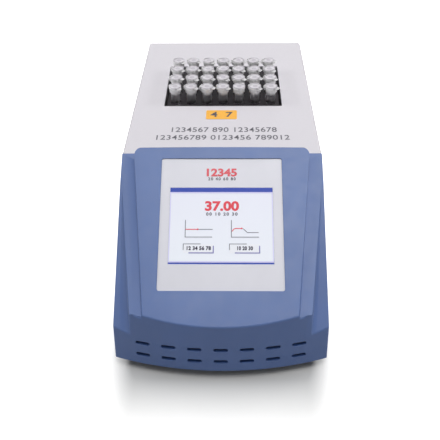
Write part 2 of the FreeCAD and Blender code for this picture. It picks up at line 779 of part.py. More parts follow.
def cover():
    body = doc.addObject("PartDesign::Body", "cover_sheet_metal")
    block = body.newObject("PartDesign::Pad", "cover_block")
    block.Profile = feature_outline(body, "cover_outline", "XY", BOTTOM,
                                    rectangle("-" + HALF, HALF, JUNCTION, BACK))
    tie(block, {"Length": "sizes.body_height"})
    doc.recompute()
    bends = body.newObject("PartDesign::Fillet", "cover_bends")
    bends.Base = (block, edges_where(block.Shape, lambda low, high: (
        low.z > value(TOP) - TOUCH and high.y > value(JUNCTION) + TOUCH
        or low.y > value(BACK) - TOUCH and high.z - low.z > value("sizes.cover_bend"))))
    tie(bends, {"Radius": "sizes.cover_bend"})
    doc.recompute()
    hollow = body.newObject("PartDesign::Thickness", "cover_hollow")
    hollow.Base = (bends, faces_where(bends.Shape, lambda low, high: (
        high.z < value(BOTTOM) + TOUCH or high.y < value(JUNCTION) + TOUCH)))
    hollow.Reversed = True
    hollow.Join = 1
    tie(hollow, {"Value": "sizes.cover_sheet"})
    doc.recompute()
    corners, arcs = rounded("-sizes.window_width / 2", "sizes.window_width / 2",
                            "%s - sizes.window_depth" % WINDOW_BACK, WINDOW_BACK, "sizes.cover_sheet")
    over = " + sizes.cut_margin"
    through = "sizes.cover_sheet * 2 + sizes.cut_margin"
    pocket(body, "window", feature_outline(body, "window_outline", "XY", TOP + over, corners, arcs), through)
    for name, middle, half_x, half_z in (("inlet_opening", INLET_X, INLET_HALF_X, INLET_HALF_Z),
                                         ("switch_opening", SWITCH_X, SWITCH_HALF_X, SWITCH_HALF_Z)):
        corners = rear_rectangle(middle, half_x, half_z, "sizes.fit_gap")
        pocket(body, name, feature_outline(body, name + "_outline", "XZ", BACK + over, corners), through,
               reversed_=True)
    holes = []
    for index, (x, y, z, along) in enumerate(cover_screw_places()):
        holes.append(flat_screw("cover_hole_%d" % index, (x, y, z), along))
    for index, x in enumerate(inlet_screw_places()):
        holes.append(rod("inlet_hole_%d" % index, (x, BACK, INLET_Z), "sizes.screw_radius",
                         "sizes.cover_sheet * 2", "-y"))
    node("rear_cover", cut("cover_cut", body, holes))
    for index, (x, y, z, along) in enumerate(cover_screw_places()):
        fasteners["flat_head_screws"].append(flat_screw("cover_screw_%d" % index, (x, y, z), along))


def edges_where(shape, test):
    return ["Edge%d" % (index + 1) for index, edge in enumerate(shape.Edges)
            if test(corner_of(edge, "Min"), corner_of(edge, "Max"))]


def faces_where(shape, test):
    return ["Face%d" % (index + 1) for index, face in enumerate(shape.Faces)
            if test(corner_of(face, "Min"), corner_of(face, "Max"))]


def corner_of(shape, end):
    bounds = shape.BoundBox
    return V(*[getattr(bounds, axis + end) for axis in "XYZ"])


def pocket(body, name, sketch, depth, reversed_=False):
    piece = body.newObject("PartDesign::Pocket", name)
    piece.Profile = sketch
    piece.Reversed = reversed_
    tie(piece, {"Length": depth})
    return piece


# Base pan with its flanges, air slots and fasteners
def foot_places():
    across = "(%s - sizes.foot_inset)" % HALF
    for side in ("-", ""):
        for y in ("(%s + sizes.foot_inset)" % CORNER, "(%s - sizes.foot_inset)" % BACK):
            yield side + across, y


def post_places():
    across = "(sizes.block_width / 2 - sizes.post_inset)"
    along = "(sizes.block_depth / 2 - sizes.post_inset)"
    for side in ("-", ""):
        for sign in ("-", "+"):
            yield side + across, "%s %s %s" % (WELL_Y, sign, along)


def standoff_places():
    half = "(sizes.power_width / 2 - sizes.power_inset)"
    for side in ("-", ""):
        for y in ("(%s + sizes.power_inset)" % POWER_FRONT,
                  "(%s + sizes.power_length - sizes.power_inset)" % POWER_FRONT):
            yield side + half, y


POWER_FRONT = "(%s - %s - sizes.power_gap - sizes.power_length)" % (WELL_Y, TRAY_HALF_Y)
POWER_FACE = "(%s + sizes.power_level)" % FLOOR


def pan():
    wide = "(%s - sizes.cover_sheet - sizes.fit_gap)" % HALF
    rear = "(%s - sizes.cover_sheet - sizes.fit_gap)" % BACK
    step = "(%s + sizes.fit_gap)" % JUNCTION
    skin = "(sizes.bezel_wall + 2 * sizes.fit_gap + sizes.pan_sheet * tan(sizes.front_lean))"
    narrow, corner, middle, radius = front_arc(skin)
    notch = "sizes.cover_bend"
    clipped = "(%s - %s)" % (wide, notch)
    flank = "(%s - %s)" % (rear, notch)
    corners = [
        ("-" + wide, flank), ("-" + wide, step), ("-" + narrow, step), ("-" + narrow, corner),
        (narrow, corner), (narrow, step), (wide, step), (wide, flank), (clipped, rear), ("-" + clipped, rear),
    ]
    sketch = outline("pan_plan", "XY", BOTTOM, corners, {3: ("0", middle, "radius", radius)})
    floor = extrude("pan_floor", sketch, (0, 0, 1), "sizes.pan_sheet")
    start = "(%s + sizes.tongue_depth + sizes.lap_gap)" % JUNCTION
    walls = [floor]
    for name, x in (("pan_left", "-" + wide), ("pan_right", "%s - sizes.pan_sheet" % wide)):
        walls.append(box(name, (x, start, BOTTOM),
                         ("sizes.pan_sheet", "%s - %s" % (flank, start), "sizes.pan_flange")))
    walls.append(box("pan_rear", ("-" + clipped, "%s - sizes.pan_sheet" % rear, BOTTOM),
                     ("2 * " + clipped, "sizes.pan_sheet", "sizes.pan_rear_flange")))
    holes = []
    for index, (x, y) in enumerate(list(foot_places()) + list(front_posts())):
        holes.append(rod("pan_hole_%d" % index, (x, y, BOTTOM), "sizes.screw_radius", "sizes.pan_sheet"))
    for index, (x, y, z, along) in enumerate(cover_screw_places()):
        holes.append(rod("pan_side_hole_%d" % index, (x, y, z), "sizes.screw_radius",
                         "sizes.screw_length", along))
    body = doc.addObject("PartDesign::Body", "base_pan")
    body.BaseFeature = cut("pan_drilled", fuse("pan_folded", walls), holes)
    first_y = "(%s - (sizes.pan_slot_count - 1) / 2 * sizes.pan_slot_pitch)" % WELL_Y
    corners, arcs = slot("-sizes.pan_slot_spread / 2", first_y, "sizes.pan_slot_length",
                         "sizes.pan_slot_width")
    above = FLOOR + " + sizes.cut_margin"
    air = pocket(body, "air_slot", feature_outline(body, "air_outline", "XY", above, corners, arcs),
                 "sizes.pan_sheet + 2 * sizes.cut_margin")
    pattern(body, "air_slots", air, (("X_Axis", "2", "sizes.pan_slot_spread"),
                                     ("Y_Axis", "sizes.pan_slot_count", "sizes.pan_slot_pitch")))
    node("base_pan", body)


def base_fasteners():
    feet = []
    for index, (x, y) in enumerate(foot_places()):
        name = "foot_%d" % index
        pad = cone(name + "_pad", (x, y, "0"), "sizes.foot_radius - sizes.foot_draft", "sizes.foot_radius",
                   BOTTOM)
        recess = rod(name + "_recess", (x, y, "0"), "sizes.screw_head_radius + sizes.head_room",
                     "sizes.foot_recess")
        bore = rod(name + "_bore", (x, y, "0"), "sizes.screw_radius", BOTTOM)
        feet.append(cut(name, pad, [recess, bore]))
        fasteners["base_screws"].append(screw(name + "_screw", (x, y, "sizes.foot_recess"), "+z"))
        fasteners["hex_nuts"].append(nut(name + "_nut", (x, y, FLOOR), "+z"))
    node("rubber_feet", group("foot_set", feet))
    for index, (x, y) in enumerate(front_posts()):
        fasteners["base_screws"].append(screw("bezel_screw_%d" % index, (x, y, BOTTOM), "+z"))


# Heated well, from the pan upwards
def notched(half_x, half_y):
    """A rectangle about the well's axis whose corners are cut out for the posts."""
    notch = "(sizes.post_inset + sizes.post_radius + sizes.fit_gap)"
    far = {"x": half_x, "y": half_y}
    near = {"x": "(%s - %s)" % (half_x, notch), "y": "(%s - %s)" % (half_y, notch)}
    corners = []
    for x_sign, y_sign, turn in (("-", "-", 1), ("", "-", -1), ("", "", 1), ("-", "", -1)):
        step = [(far["x"], near["y"]), (near["x"], near["y"]), (near["x"], far["y"])][::turn]
        corners += [(x_sign + x, "%s + %s(%s)" % (WELL_Y, y_sign, y)) for x, y in step]
    return corners


def well():
    """The heated plate on its welded posts, the layers under it, and what surrounds it."""
    posts = []
    studs = []
    height = "%s - %s" % (PLATE_FOOT, FLOOR)
    for index, (x, y) in enumerate(post_places()):
        name = "post_%d" % index
        collar = rod(name + "_collar", (x, y, FLOOR), "sizes.collar_radius", "%s - %s" % (TRAY_FOOT, FLOOR))
        shaft = rod(name + "_shaft", (x, y, FLOOR), "sizes.post_radius", height)
        stud = rod(name + "_stud", (x, y, PLATE_FOOT), "sizes.screw_radius", "sizes.stud_bite")
        posts.append(fuse(name, [collar, shaft, stud]))
        studs.append(rod(name + "_seat", (x, y, PLATE_FOOT), "sizes.screw_radius", "sizes.stud_bite"))
    node("plate_posts", group("post_set", posts))
    half_x = "sizes.block_width / 2"
    half_y = "sizes.block_depth / 2"
    probe_level = "(%s + sizes.plate_height / 2)" % PLATE_FOOT
    probe_end = "(%s - %s - sizes.probe_tail)" % (WELL_Y, half_y)
    reach = "sizes.probe_tail + sizes.probe_depth"
    plate = well_box("plate_block", half_x, half_y, PLATE_FOOT, PLATE_TOP)
    probe_bore = rod("probe_bore", ("0", probe_end, probe_level),
                     "sizes.probe_radius + sizes.running_gap", reach, "+y")
    node("heater_plate", cut("plate_drilled", plate, studs + [probe_bore]))
    node("temperature_probe", rod("probe_rod", ("0", probe_end, probe_level), "sizes.probe_radius",
                                  reach, "+y"))
    layers = (("heater_mat", MAT_FOOT, PLATE_FOOT), ("clamp_plate", CLAMP_FOOT, MAT_FOOT),
              ("insulation_pad", TRAY_FACE, CLAMP_FOOT))
    for label, low, high in layers:
        layer = extrude(label + "_sheet", outline(label + "_plan", "XY", low, notched(half_x, half_y)),
                        (0, 0, 1), "%s - %s" % (high, low))
        hole = rod(label + "_hole", ("0", WELL_Y, low), "sizes.cutout_radius + sizes.fit_gap",
                   "%s - %s" % (high, low))
        node(label, cut(label + "_cut", layer, [hole]))
    disc = rod("cutout_disc", ("0", WELL_Y, "%s - sizes.cutout_height" % PLATE_FOOT),
               "sizes.cutout_radius", "sizes.cutout_height")
    blades = []
    for index, side in enumerate(("-", "")):
        low = "%s - sizes.cutout_height - sizes.blade_reach" % PLATE_FOOT
        blades.append(box_about("cutout_blade_%d" % index, side + "sizes.blade_pitch / 2", WELL_Y,
                                "sizes.blade_sheet / 2", "sizes.blade_width / 2", low,
                                "(%s + sizes.blade_reach)" % low))
    node("thermal_cutout", fuse("cutout_switch", [disc] + blades))
    tray()
    liner(probe_end, probe_level)


def tray():
    """A folded tray under the insulation, with holes for the posts."""
    rim = "(%s + sizes.tray_flange)" % TRAY_FOOT
    outer = well_box("tray_outer", TRAY_HALF_X, TRAY_HALF_Y, TRAY_FOOT, rim)
    inner = well_box("tray_inner", "(%s - sizes.tray_sheet)" % TRAY_HALF_X,
                     "(%s - sizes.tray_sheet)" % TRAY_HALF_Y, TRAY_FACE, rim)
    holes = [rod("tray_hole_%d" % index, (x, y, TRAY_FOOT), "sizes.post_radius + sizes.fit_gap",
                 "sizes.tray_sheet") for index, (x, y) in enumerate(post_places())]
    node("insulation_tray", cut("tray_cut", outer, [inner] + holes))


def liner(probe_end, probe_level):
    """The well's thin wall, its flange under the window, and the jacket round it."""
    top = "(%s - sizes.cover_sheet - sizes.fit_gap)" % TOP
    flange_low = "(%s - sizes.liner_sheet)" % top
    wall = well_box("liner_wall", LINER_HALF_X, LINER_HALF_Y, CLAMP_FOOT, top)
    flange = well_box("liner_flange_sheet", "(%s + sizes.liner_flange)" % LINER_HALF_X,
                      "(%s + sizes.liner_flange)" % LINER_HALF_Y, flange_low, top)
    room = well_box("liner_room", "sizes.window_width / 2", "sizes.window_depth / 2", CLAMP_FOOT, top)
    reach = "sizes.probe_tail + sizes.probe_depth"
    hole = rod("liner_probe_hole", ("0", probe_end, probe_level), "sizes.probe_radius + 2 * sizes.fit_gap",
               reach, "+y")
    node("well_liner", cut("liner_cut", fuse("liner_folded", [wall, flange]), [room, hole]))
    jacket = well_box("jacket_block", JACKET_HALF_X, JACKET_HALF_Y, TRAY_FACE, JACKET_TOP)
    inside = well_box("jacket_room", "(%s + sizes.fit_gap)" % LINER_HALF_X,
                      "(%s + sizes.fit_gap)" % LINER_HALF_Y, TRAY_FACE, JACKET_TOP)
    hole = rod("jacket_probe_hole", ("0", probe_end, probe_level), "sizes.probe_radius + 2 * sizes.fit_gap",
               reach, "+y")
    node("insulation_jacket", cut("jacket_cut", jacket, [inside, hole]))


def block():
    """The lift-out block, drilled for the tubes and tapped for its lifter."""
    body = doc.addObject("PartDesign::Body", "heating_block")
    solid = body.newObject("PartDesign::Pad", "block_solid")
    solid.Profile = feature_outline(body, "block_outline", "XY", BLOCK_FOOT, rectangle(
        "-sizes.block_width / 2", "sizes.block_width / 2",
        "%s - sizes.block_depth / 2" % WELL_Y, "%s + sizes.block_depth / 2" % WELL_Y))
    tie(solid, {"Length": "sizes.block_height"})
    doc.recompute()
    rim = body.newObject("PartDesign::Chamfer", "block_rim")
    rim.Base = (solid, edges_where(solid.Shape, lambda low, high: low.z > value(BLOCK_TOP) - TOUCH))
    tie(rim, {"Size": "sizes.block_chamfer"})
    lifter = feature_outline(body, "lifter_outline", "XY", BLOCK_TOP, [], {})
    circle(lifter, "0", WELL_Y, "sizes.lifter_radius")
    pocket(body, "lifter_hole", lifter, "sizes.lifter_depth")
    first = feature_outline(body, "well_outline", "XY", BLOCK_TOP, [], {})
    circle(first, well_x("1"), well_y("1"), "sizes.well_radius")
    drill = pocket(body, "tube_well", first, "sizes.tube_length - sizes.tube_stand + sizes.seat_gap")
    pattern(body, "tube_wells", drill, (("X_Axis", "sizes.well_columns", "sizes.column_pitch"),
                                        ("Y_Axis", "sizes.well_rows", "sizes.row_pitch")))
    node("heating_block", body)


def circle(sketch, u, v, radius):
    """A circle on an outline that is otherwise empty."""
    sketch.addGeometry(Part.Circle(V(value(u), value(v), 0), V(0, 0, 1), value(radius)), False)
    for kind, label, expression in (("DistanceX", "u", u), ("DistanceY", "v", v)):
        number = sketch.addConstraint(Sketcher.Constraint(kind, -1, 1, 0, 3, value(expression)))
        sketch.renameConstraint(number, label)
        sketch.setExpression("Constraints." + label, expression)
    number = sketch.addConstraint(Sketcher.Constraint("Radius", 0, value(radius)))
    sketch.renameConstraint(number, "radius")
    sketch.setExpression("Constraints.radius", radius)


def well_x(column):
    return "((%s - 1) - (sizes.well_columns - 1) / 2) * sizes.column_pitch" % column


def well_y(row):
    return "(%s + ((%s - 1) - (sizes.well_rows - 1) / 2) * sizes.row_pitch)" % (WELL_Y, row)


def tube_pad(body, name, radius, level, length):
    """A many-sided solid round the tube's own axis, up from a level."""
    sides = int(value("sizes.tube_sides"))
    turns = [360 * index / sides for index in range(sides)]
    corners = [("%s * cos(%g)" % (radius, turn), "%s * sin(%g)" % (radius, turn)) for turn in turns]
    pad = body.newObject("PartDesign::Pad", name)
    pad.Profile = feature_outline(body, name + "_outline", "XY", level, corners)
    tie(pad, {"Length": length})
    return pad


def tubes():
    """One closed snap-cap tube with flat sides, copied into every well with its own turn."""
    body = doc.addObject("PartDesign::Body", "tube_form")
    tip = "(sizes.tube_stand - sizes.tube_length)"
    barrel = tube_pad(body, "tube_barrel", "sizes.tube_radius", tip, "sizes.tube_length - sizes.cap_height")
    doc.recompute()
    taper = body.newObject("PartDesign::Chamfer", "tube_taper")
    taper.Base = (barrel, edges_where(barrel.Shape, lambda low, high: high.z < value(tip) + TOUCH))
    taper.ChamferType = "Two distances"
    tie(taper, {
        "Size": "sizes.tube_taper_length",
        "Size2": "(sizes.tube_radius - sizes.tube_tip_radius) * cos(180 / sizes.tube_sides)",
    })
    under = "(sizes.tube_stand - sizes.cap_height)"
    tube_pad(body, "tube_cap", "sizes.cap_radius", under, "sizes.cap_height")
    for name, start, finish, width in (
            ("tab", "0", "sizes.cap_tab_reach", "sizes.cap_tab_width"),
            ("hinge", "-sizes.cap_hinge_reach", "0", "sizes.cap_hinge_width")):
        pad = body.newObject("PartDesign::Pad", "tube_" + name)
        pad.Profile = feature_outline(body, "tube_%s_outline" % name, "XY",
                                      "(sizes.tube_stand - sizes.cap_tab_sheet)",
                                      rectangle(start, finish, "-%s / 2" % width, "%s / 2" % width))
        tie(pad, {"Length": "sizes.cap_tab_sheet"})
    body.Tip = pad
    for row in range(int(value("sizes.well_rows"))):
        for column in range(int(value("sizes.well_columns"))):
            label = "tube_%s%d" % ("abcdefgh"[row], column + 1)
            piece = group(label + "_place", [body])
            piece.Placement = turned_about(0, 0, 1)
            swing = (row * 5 + column * 3) % 7 - 3
            tie(piece, {
                "Placement.Rotation.Angle": "-sizes.cap_turn_angle + %d * sizes.cap_swing_angle" % swing,
                "Placement.Base.x": well_x(column + 1),
                "Placement.Base.y": well_y(row + 1),
                "Placement.Base.z": BLOCK_TOP,
            })
            node(label, piece)


# Display stack under the hood
def display():
    window = hood_plate("overlay_window", "sizes.display_width", "sizes.display_length", DISPLAY_DOWN,
                        OVERLAY_BACK, "sizes.overlay_sheet", "sizes.fit_gap")
    film = hood_plate("overlay_film", "sizes.overlay_width", "sizes.overlay_length", "sizes.overlay_drop",
                      OVERLAY_BACK, "sizes.overlay_sheet", "sizes.overlay_corner")
    node("panel_overlay", cut("overlay_cut", film, [window]))
    node("touch_glass", hood_box(
        "glass_sheet_solid", "-sizes.display_width / 2 + sizes.running_gap",
        "%s + sizes.running_gap" % DISPLAY_DOWN, GLASS_BACK,
        ("sizes.display_width - 2 * sizes.running_gap", "sizes.display_length - 2 * sizes.running_gap",
         "sizes.glass_sheet - sizes.running_gap")))
    node("display_module", hood_plate("module_block", "sizes.module_width", "sizes.module_length",
                                      MODULE_DOWN, MODULE_BACK, "sizes.module_depth",
                                      "sizes.board_corner"))
    back = "(%s - sizes.board_sheet)" % BOARD_FACE
    plate = hood_plate("board_plate", "sizes.board_width", "sizes.board_length", BOARD_DOWN, back,
                       "sizes.board_sheet", "sizes.board_corner")
    drill = [hood_rod("board_hole_%d" % index, across, down, back, "sizes.screw_radius", "sizes.board_sheet")
             for index, (across, down) in enumerate(board_corners())]
    chips = []
    # Shares of the board's width and length, then heights in board sheets
    for index, (across, down, width, length, height) in enumerate((
            (-0.38, 0.18, 0.13, 0.18, 1.3), (-0.15, 0.25, 0.19, 0.25, 1.5), (0.13, 0.2, 0.1, 0.18, 1.3),
            (0.29, 0.38, 0.09, 0.38, 4.4), (-0.37, 0.58, 0.25, 0.11, 3.8), (0.02, 0.63, 0.12, 0.1, 1.9))):
        rise = "%g * sizes.board_sheet" % height
        chips.append(hood_box("board_chip_%d" % index, "%g * sizes.board_width" % across,
                              "%s + %g * sizes.board_length" % (BOARD_DOWN, down), "%s - %s" % (back, rise),
                              ("%g * sizes.board_width" % width, "%g * sizes.board_length" % length, rise)))
    last = "%s + sizes.module_length - sizes.rail_inset - sizes.rail_width" % MODULE_DOWN
    for index, down in enumerate((MODULE_DOWN + " + sizes.rail_inset", last)):
        chips.append(hood_box("board_rail_%d" % index, "-sizes.module_width / 2 + sizes.rail_inset", down,
                              BOARD_FACE, ("sizes.module_width - 2 * sizes.rail_inset", "sizes.rail_width",
                                           "%s - %s" % (MODULE_BACK, BOARD_FACE))))
    node("control_board", cut("board_cut", fuse("board_loaded", [plate] + chips), drill))
    for index, (across, down) in enumerate(board_corners()):
        name = "board_screw_%d" % index
        head = hood_rod(name + "_head", across, down, "%s - sizes.screw_head_height" % back,
                        "sizes.screw_head_radius", "sizes.screw_head_height")
        shank = hood_rod(name + "_shank", across, down, back, "sizes.screw_radius", "sizes.screw_length")
        fasteners["board_screws"].append(fuse(name, [head, shank]))


# Mains board between the well and the bezel
def power():
    top = "(%s + sizes.board_sheet)" % POWER_FACE
    half = "sizes.power_width / 2"
    plate = box("power_plate", ("-" + half, POWER_FRONT, POWER_FACE),
                ("sizes.power_width", "sizes.power_length", "sizes.board_sheet"))
    drill = [rod("power_hole_%d" % index, (x, y, POWER_FACE), "sizes.screw_radius", "sizes.board_sheet")
             for index, (x, y) in enumerate(standoff_places())]
    loads = []
    # Shares of the board's width and length and of the transformer's height
    for index, (x, y, width, length, height) in enumerate((
            (-0.41, 0.27, 0.085, 0.5, 0.46), (0.02, 0.09, 0.17, 0.36, 0.62), (0.24, 0.18, 0.07, 0.59, 0.46),
            (0.02, 0.59, 0.1, 0.27, 0.25))):
        place = ("%g * sizes.power_width" % x, "%s + %g * sizes.power_length" % (POWER_FRONT, y), top)
        loads.append(box("power_part_%d" % index, place,
                         ("%g * sizes.power_width" % width, "%g * sizes.power_length" % length,
                          "%g * sizes.transformer_height" % height)))
    for index, y in enumerate((0.27, 0.68)):
        place = ("0.4 * sizes.power_width", "%s + %g * sizes.power_length" % (POWER_FRONT, y), top)
        loads.append(rod("power_capacitor_%d" % index, place, "sizes.capacitor_radius",
                         "2 / 3 * sizes.transformer_height"))
    node("power_board", cut("power_cut", fuse("power_loaded", [plate] + loads), drill))
    x = "(-0.3 * sizes.power_width)"
    y = "(%s + 0.18 * sizes.power_length)" % POWER_FRONT
    core = box("transformer_core", (x, y, top), ("sizes.transformer_width", "sizes.transformer_length",
                                                "sizes.transformer_height"))
    bobbin = box("transformer_bobbin", (x + " + sizes.bobbin_inset", y + " - sizes.bobbin_reach",
                                        top + " + sizes.bobbin_inset"),
                 ("sizes.transformer_width - 2 * sizes.bobbin_inset",
                  "sizes.transformer_length + 2 * sizes.bobbin_reach",
                  "sizes.transformer_height - 2 * sizes.bobbin_inset"))
    node("transformer", fuse("transformer_wound", [core, bobbin]))
    for index, (x, y) in enumerate(standoff_places()):
        name = "standoff_%d" % index
        post = rod(name + "_post", (x, y, FLOOR), "sizes.boss_radius", "sizes.power_level")
        bore = rod(name + "_bore", (x, y, POWER_FACE), "sizes.screw_radius", "sizes.standoff_bite", "-z")
        fasteners["spacers"].append(cut(name, post, [bore]))
        fasteners["board_screws"].append(screw(name + "_screw", (x, y, top), "-z",
                                               "sizes.board_sheet + sizes.standoff_bite"))


# Mains inlet with its fuse drawer, and the power switch
def inlet_screw_places():
    for side in ("-", "+"):
        yield "%s %s sizes.inlet_screw_spread / 2" % (INLET_X, side)


def rear_box(name, middle_x, middle_z, half_x, half_z, inner, outer):
    """A box whose faces are parallel to the back wall, between two depths along Y."""
    corner = ("%s - (%s)" % (middle_x, half_x), inner, "%s - (%s)" % (middle_z, half_z))
    return box(name, corner, ("2 * (%s)" % half_x, "%s - (%s)" % (outer, inner), "2 * (%s)" % half_z))


def inlet():
    face = "(%s + sizes.flange_sheet)" % BACK
    deep = "(%s - sizes.inlet_depth)" % BACK
    flange = rear_box("inlet_flange", INLET_X, INLET_Z, "sizes.inlet_width / 2", "sizes.inlet_height / 2",
                      BACK, face)
    housing = rear_box("inlet_housing", INLET_X, INLET_Z, INLET_HALF_X, INLET_HALF_Z, deep, BACK)
    middle = "(%s + sizes.socket_rise)" % INLET_Z
    half_x = "sizes.socket_width / 2"
    half_z = "sizes.socket_height / 2"
    corners = [
        ("%s - %s" % (INLET_X, half_x), "%s - %s" % (middle, half_z)),
        ("%s + %s" % (INLET_X, half_x), "%s - %s" % (middle, half_z)),
        ("%s + %s" % (INLET_X, half_x), "%s + %s - sizes.socket_corner" % (middle, half_z)),
        ("%s + %s - sizes.socket_corner" % (INLET_X, half_x), "%s + %s" % (middle, half_z)),
        ("%s - %s + sizes.socket_corner" % (INLET_X, half_x), "%s + %s" % (middle, half_z)),
        ("%s - %s" % (INLET_X, half_x), "%s + %s - sizes.socket_corner" % (middle, half_z)),
    ]
    floor = "(%s - sizes.socket_depth)" % face
    cavity = extrude("socket_cavity", outline("socket_outline", "XZ", face, corners), (0, -1, 0),
                     "sizes.socket_depth")
    pins = []
    for index, (shift, rise) in enumerate((("-sizes.pin_pitch / 2", "-"), ("0", "+"),
                                           ("sizes.pin_pitch / 2", "-"))):
        pins.append(rear_box("pin_%d" % index, "%s + %s" % (INLET_X, shift),
                             "%s %s sizes.pin_height / 2" % (middle, rise), "sizes.pin_width / 2",
                             "sizes.pin_height / 2", "(%s - sizes.pin_tail)" % deep,
                             "(%s + sizes.pin_length)" % floor))
    node("inlet_pins", group("pin_set", pins))
    drawer_z = "(%s - sizes.drawer_drop)" % INLET_Z
    slide = rear_box("drawer_room", INLET_X, drawer_z, "(sizes.drawer_width / 2 + sizes.drawer_gap)",
                     "(sizes.drawer_height / 2 + sizes.drawer_gap)",
                     "(%s - sizes.drawer_depth - sizes.drawer_gap)" % face,
                     "(%s + sizes.cut_margin)" % face)
    holes = [cavity, slide] + pins
    for index, x in enumerate(inlet_screw_places()):
        name = "inlet_screw_%d" % index
        holes.append(flat_screw(name + "_hole", (x, face, INLET_Z), "-y", "sizes.flange_sheet / 2"))
        fasteners["flat_head_screws"].append(flat_screw(name, (x, face, INLET_Z), "-y",
                                                        "sizes.flange_sheet / 2"))
        fasteners["hex_nuts"].append(nut("inlet_nut_%d" % index,
                                         (x, "%s - sizes.cover_sheet" % BACK, INLET_Z), "-y"))
    node("inlet_socket", cut("inlet_cut", fuse("inlet_solid", [flange, housing]), holes))
    tray_box = rear_box("drawer_solid", INLET_X, drawer_z, "sizes.drawer_width / 2",
                        "sizes.drawer_height / 2", "(%s - sizes.drawer_depth)" % face,
                        "(%s + sizes.rear_reach)" % BACK)
    fuses = []
    rooms = []
    for index, side in enumerate(("-", "+")):
        x = "%s %s sizes.fuse_pitch / 2" % (INLET_X, side)
        start = "(%s - sizes.drawer_depth + sizes.drawer_wall)" % face
        fuses.append(rod("fuse_%d" % index, (x, start, drawer_z), "sizes.fuse_radius", "sizes.fuse_length",
                         "+y"))
        rooms.append(rear_box("fuse_room_%d" % index, x, "%s + sizes.drawer_height / 2" % drawer_z,
                              "sizes.fuse_radius + sizes.running_gap",
                              "(sizes.drawer_height / 2 + sizes.fuse_radius + sizes.running_gap)",
                              start + " - sizes.running_gap",
                              "(%s + sizes.fuse_length + sizes.running_gap)" % start))
    node("fuse_drawer", cut("drawer_cut", tray_box, rooms))
    node("fuses", group("fuse_set", fuses))


def switch():
    face = "(%s + sizes.switch_flange)" % BACK
    deep = "(%s - sizes.switch_depth)" % BACK
    flange = rear_box("switch_flange_plate", SWITCH_X, INLET_Z, "sizes.switch_width / 2",
                      "sizes.switch_height / 2", BACK, face)
    housing = rear_box("switch_housing", SWITCH_X, INLET_Z, SWITCH_HALF_X, SWITCH_HALF_Z, deep, BACK)
    pivot_y = "(%s - sizes.rocker_set_in)" % BACK
    room = rear_box("rocker_room", SWITCH_X, INLET_Z, "(sizes.rocker_width / 2 + sizes.rocker_gap)",
                    "(sizes.rocker_height / 2 + sizes.rocker_gap)", "(%s + sizes.switch_flange)" % deep, face)
    reach = "(%s - 2 * sizes.running_gap)" % SWITCH_HALF_X
    bore = rod("rocker_bore", ("%s - %s - sizes.cut_margin" % (SWITCH_X, SWITCH_HALF_X), pivot_y, INLET_Z),
               "sizes.rocker_pin_radius + sizes.running_gap",
               "2 * (%s + sizes.cut_margin)" % SWITCH_HALF_X, "+x")
    blades = [rear_box("switch_blade_%d" % index, SWITCH_X, "%s %s sizes.blade_pitch / 2" % (INLET_Z, side),
                       "sizes.blade_width / 2", "sizes.blade_sheet / 2", "(%s - sizes.switch_tail)" % deep,
                       deep) for index, side in enumerate(("-", "+"))]
    frame = cut("switch_hollow", fuse("switch_solid", [flange, housing]), [room, bore])
    node("switch_frame", fuse("switch_bladed", [frame] + blades))
    half = "(sizes.rocker_height / 2)"
    waist = "(sizes.rocker_crown - %s * tan(sizes.rocker_angle))" % half
    edge = "sizes.rocker_crown - sizes.rocker_lip"
    corners = [
        ("-sizes.rocker_back", "-%s / 2" % half), (edge, "-" + half), ("sizes.rocker_crown", "-" + half),
        (waist, "0"), ("sizes.rocker_crown", half), (edge, half), ("-sizes.rocker_back", "%s / 2" % half),
    ]
    form = extrude("rocker_form", outline("rocker_side", "YZ", "0", corners), (1, 0, 0),
                   "sizes.rocker_width", symmetric=True)
    pin = rod("rocker_pin", ("-" + reach, "0", "0"), "sizes.rocker_pin_radius", "2 * " + reach, "+x")
    rocker = group("rocker_place", [fuse("rocker_solid", [form, pin])])
    rocker.Placement = turned_about(1, 0, 0)
    tie(rocker, {
        "Placement.Rotation.Angle": "sizes.rocker_angle",
        "Placement.Base.x": SWITCH_X,
        "Placement.Base.y": pivot_y,
        "Placement.Base.z": INLET_Z,
    })
    node("switch_rocker", rocker)


bezel()
cover()
pan()
base_fasteners()
well()
block()
tubes()
display()
power()
inlet()
switch()
for label, pieces in fasteners.items():
    node(label, group(label + "_set", pieces))

# Write every sub-part after all of it is sound
doc.recompute()
for piece in doc.Objects:
    if "Invalid" in piece.State or "Error" in piece.State:
        raise SystemExit("failed: %s %s" % (piece.Name, piece.State))
for piece in nodes:
    if piece.Shape.isNull() or not piece.Shape.isValid():
        raise SystemExit("not a sound shape: %s" % piece.Label)
for piece in nodes:
    piece.Shape.exportStep("parts/%s.step" % piece.Label)
    print(piece.Label, len(piece.Shape.Solids), round(piece.Shape.Volume), piece.Shape.BoundBox)
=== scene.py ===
"""Looks of a bench-top dry bath: pale cover, blue moulded front, lit display, black block and tubes."""
import math
import random

import bmesh
import bpy
from mathutils import Matrix, Vector

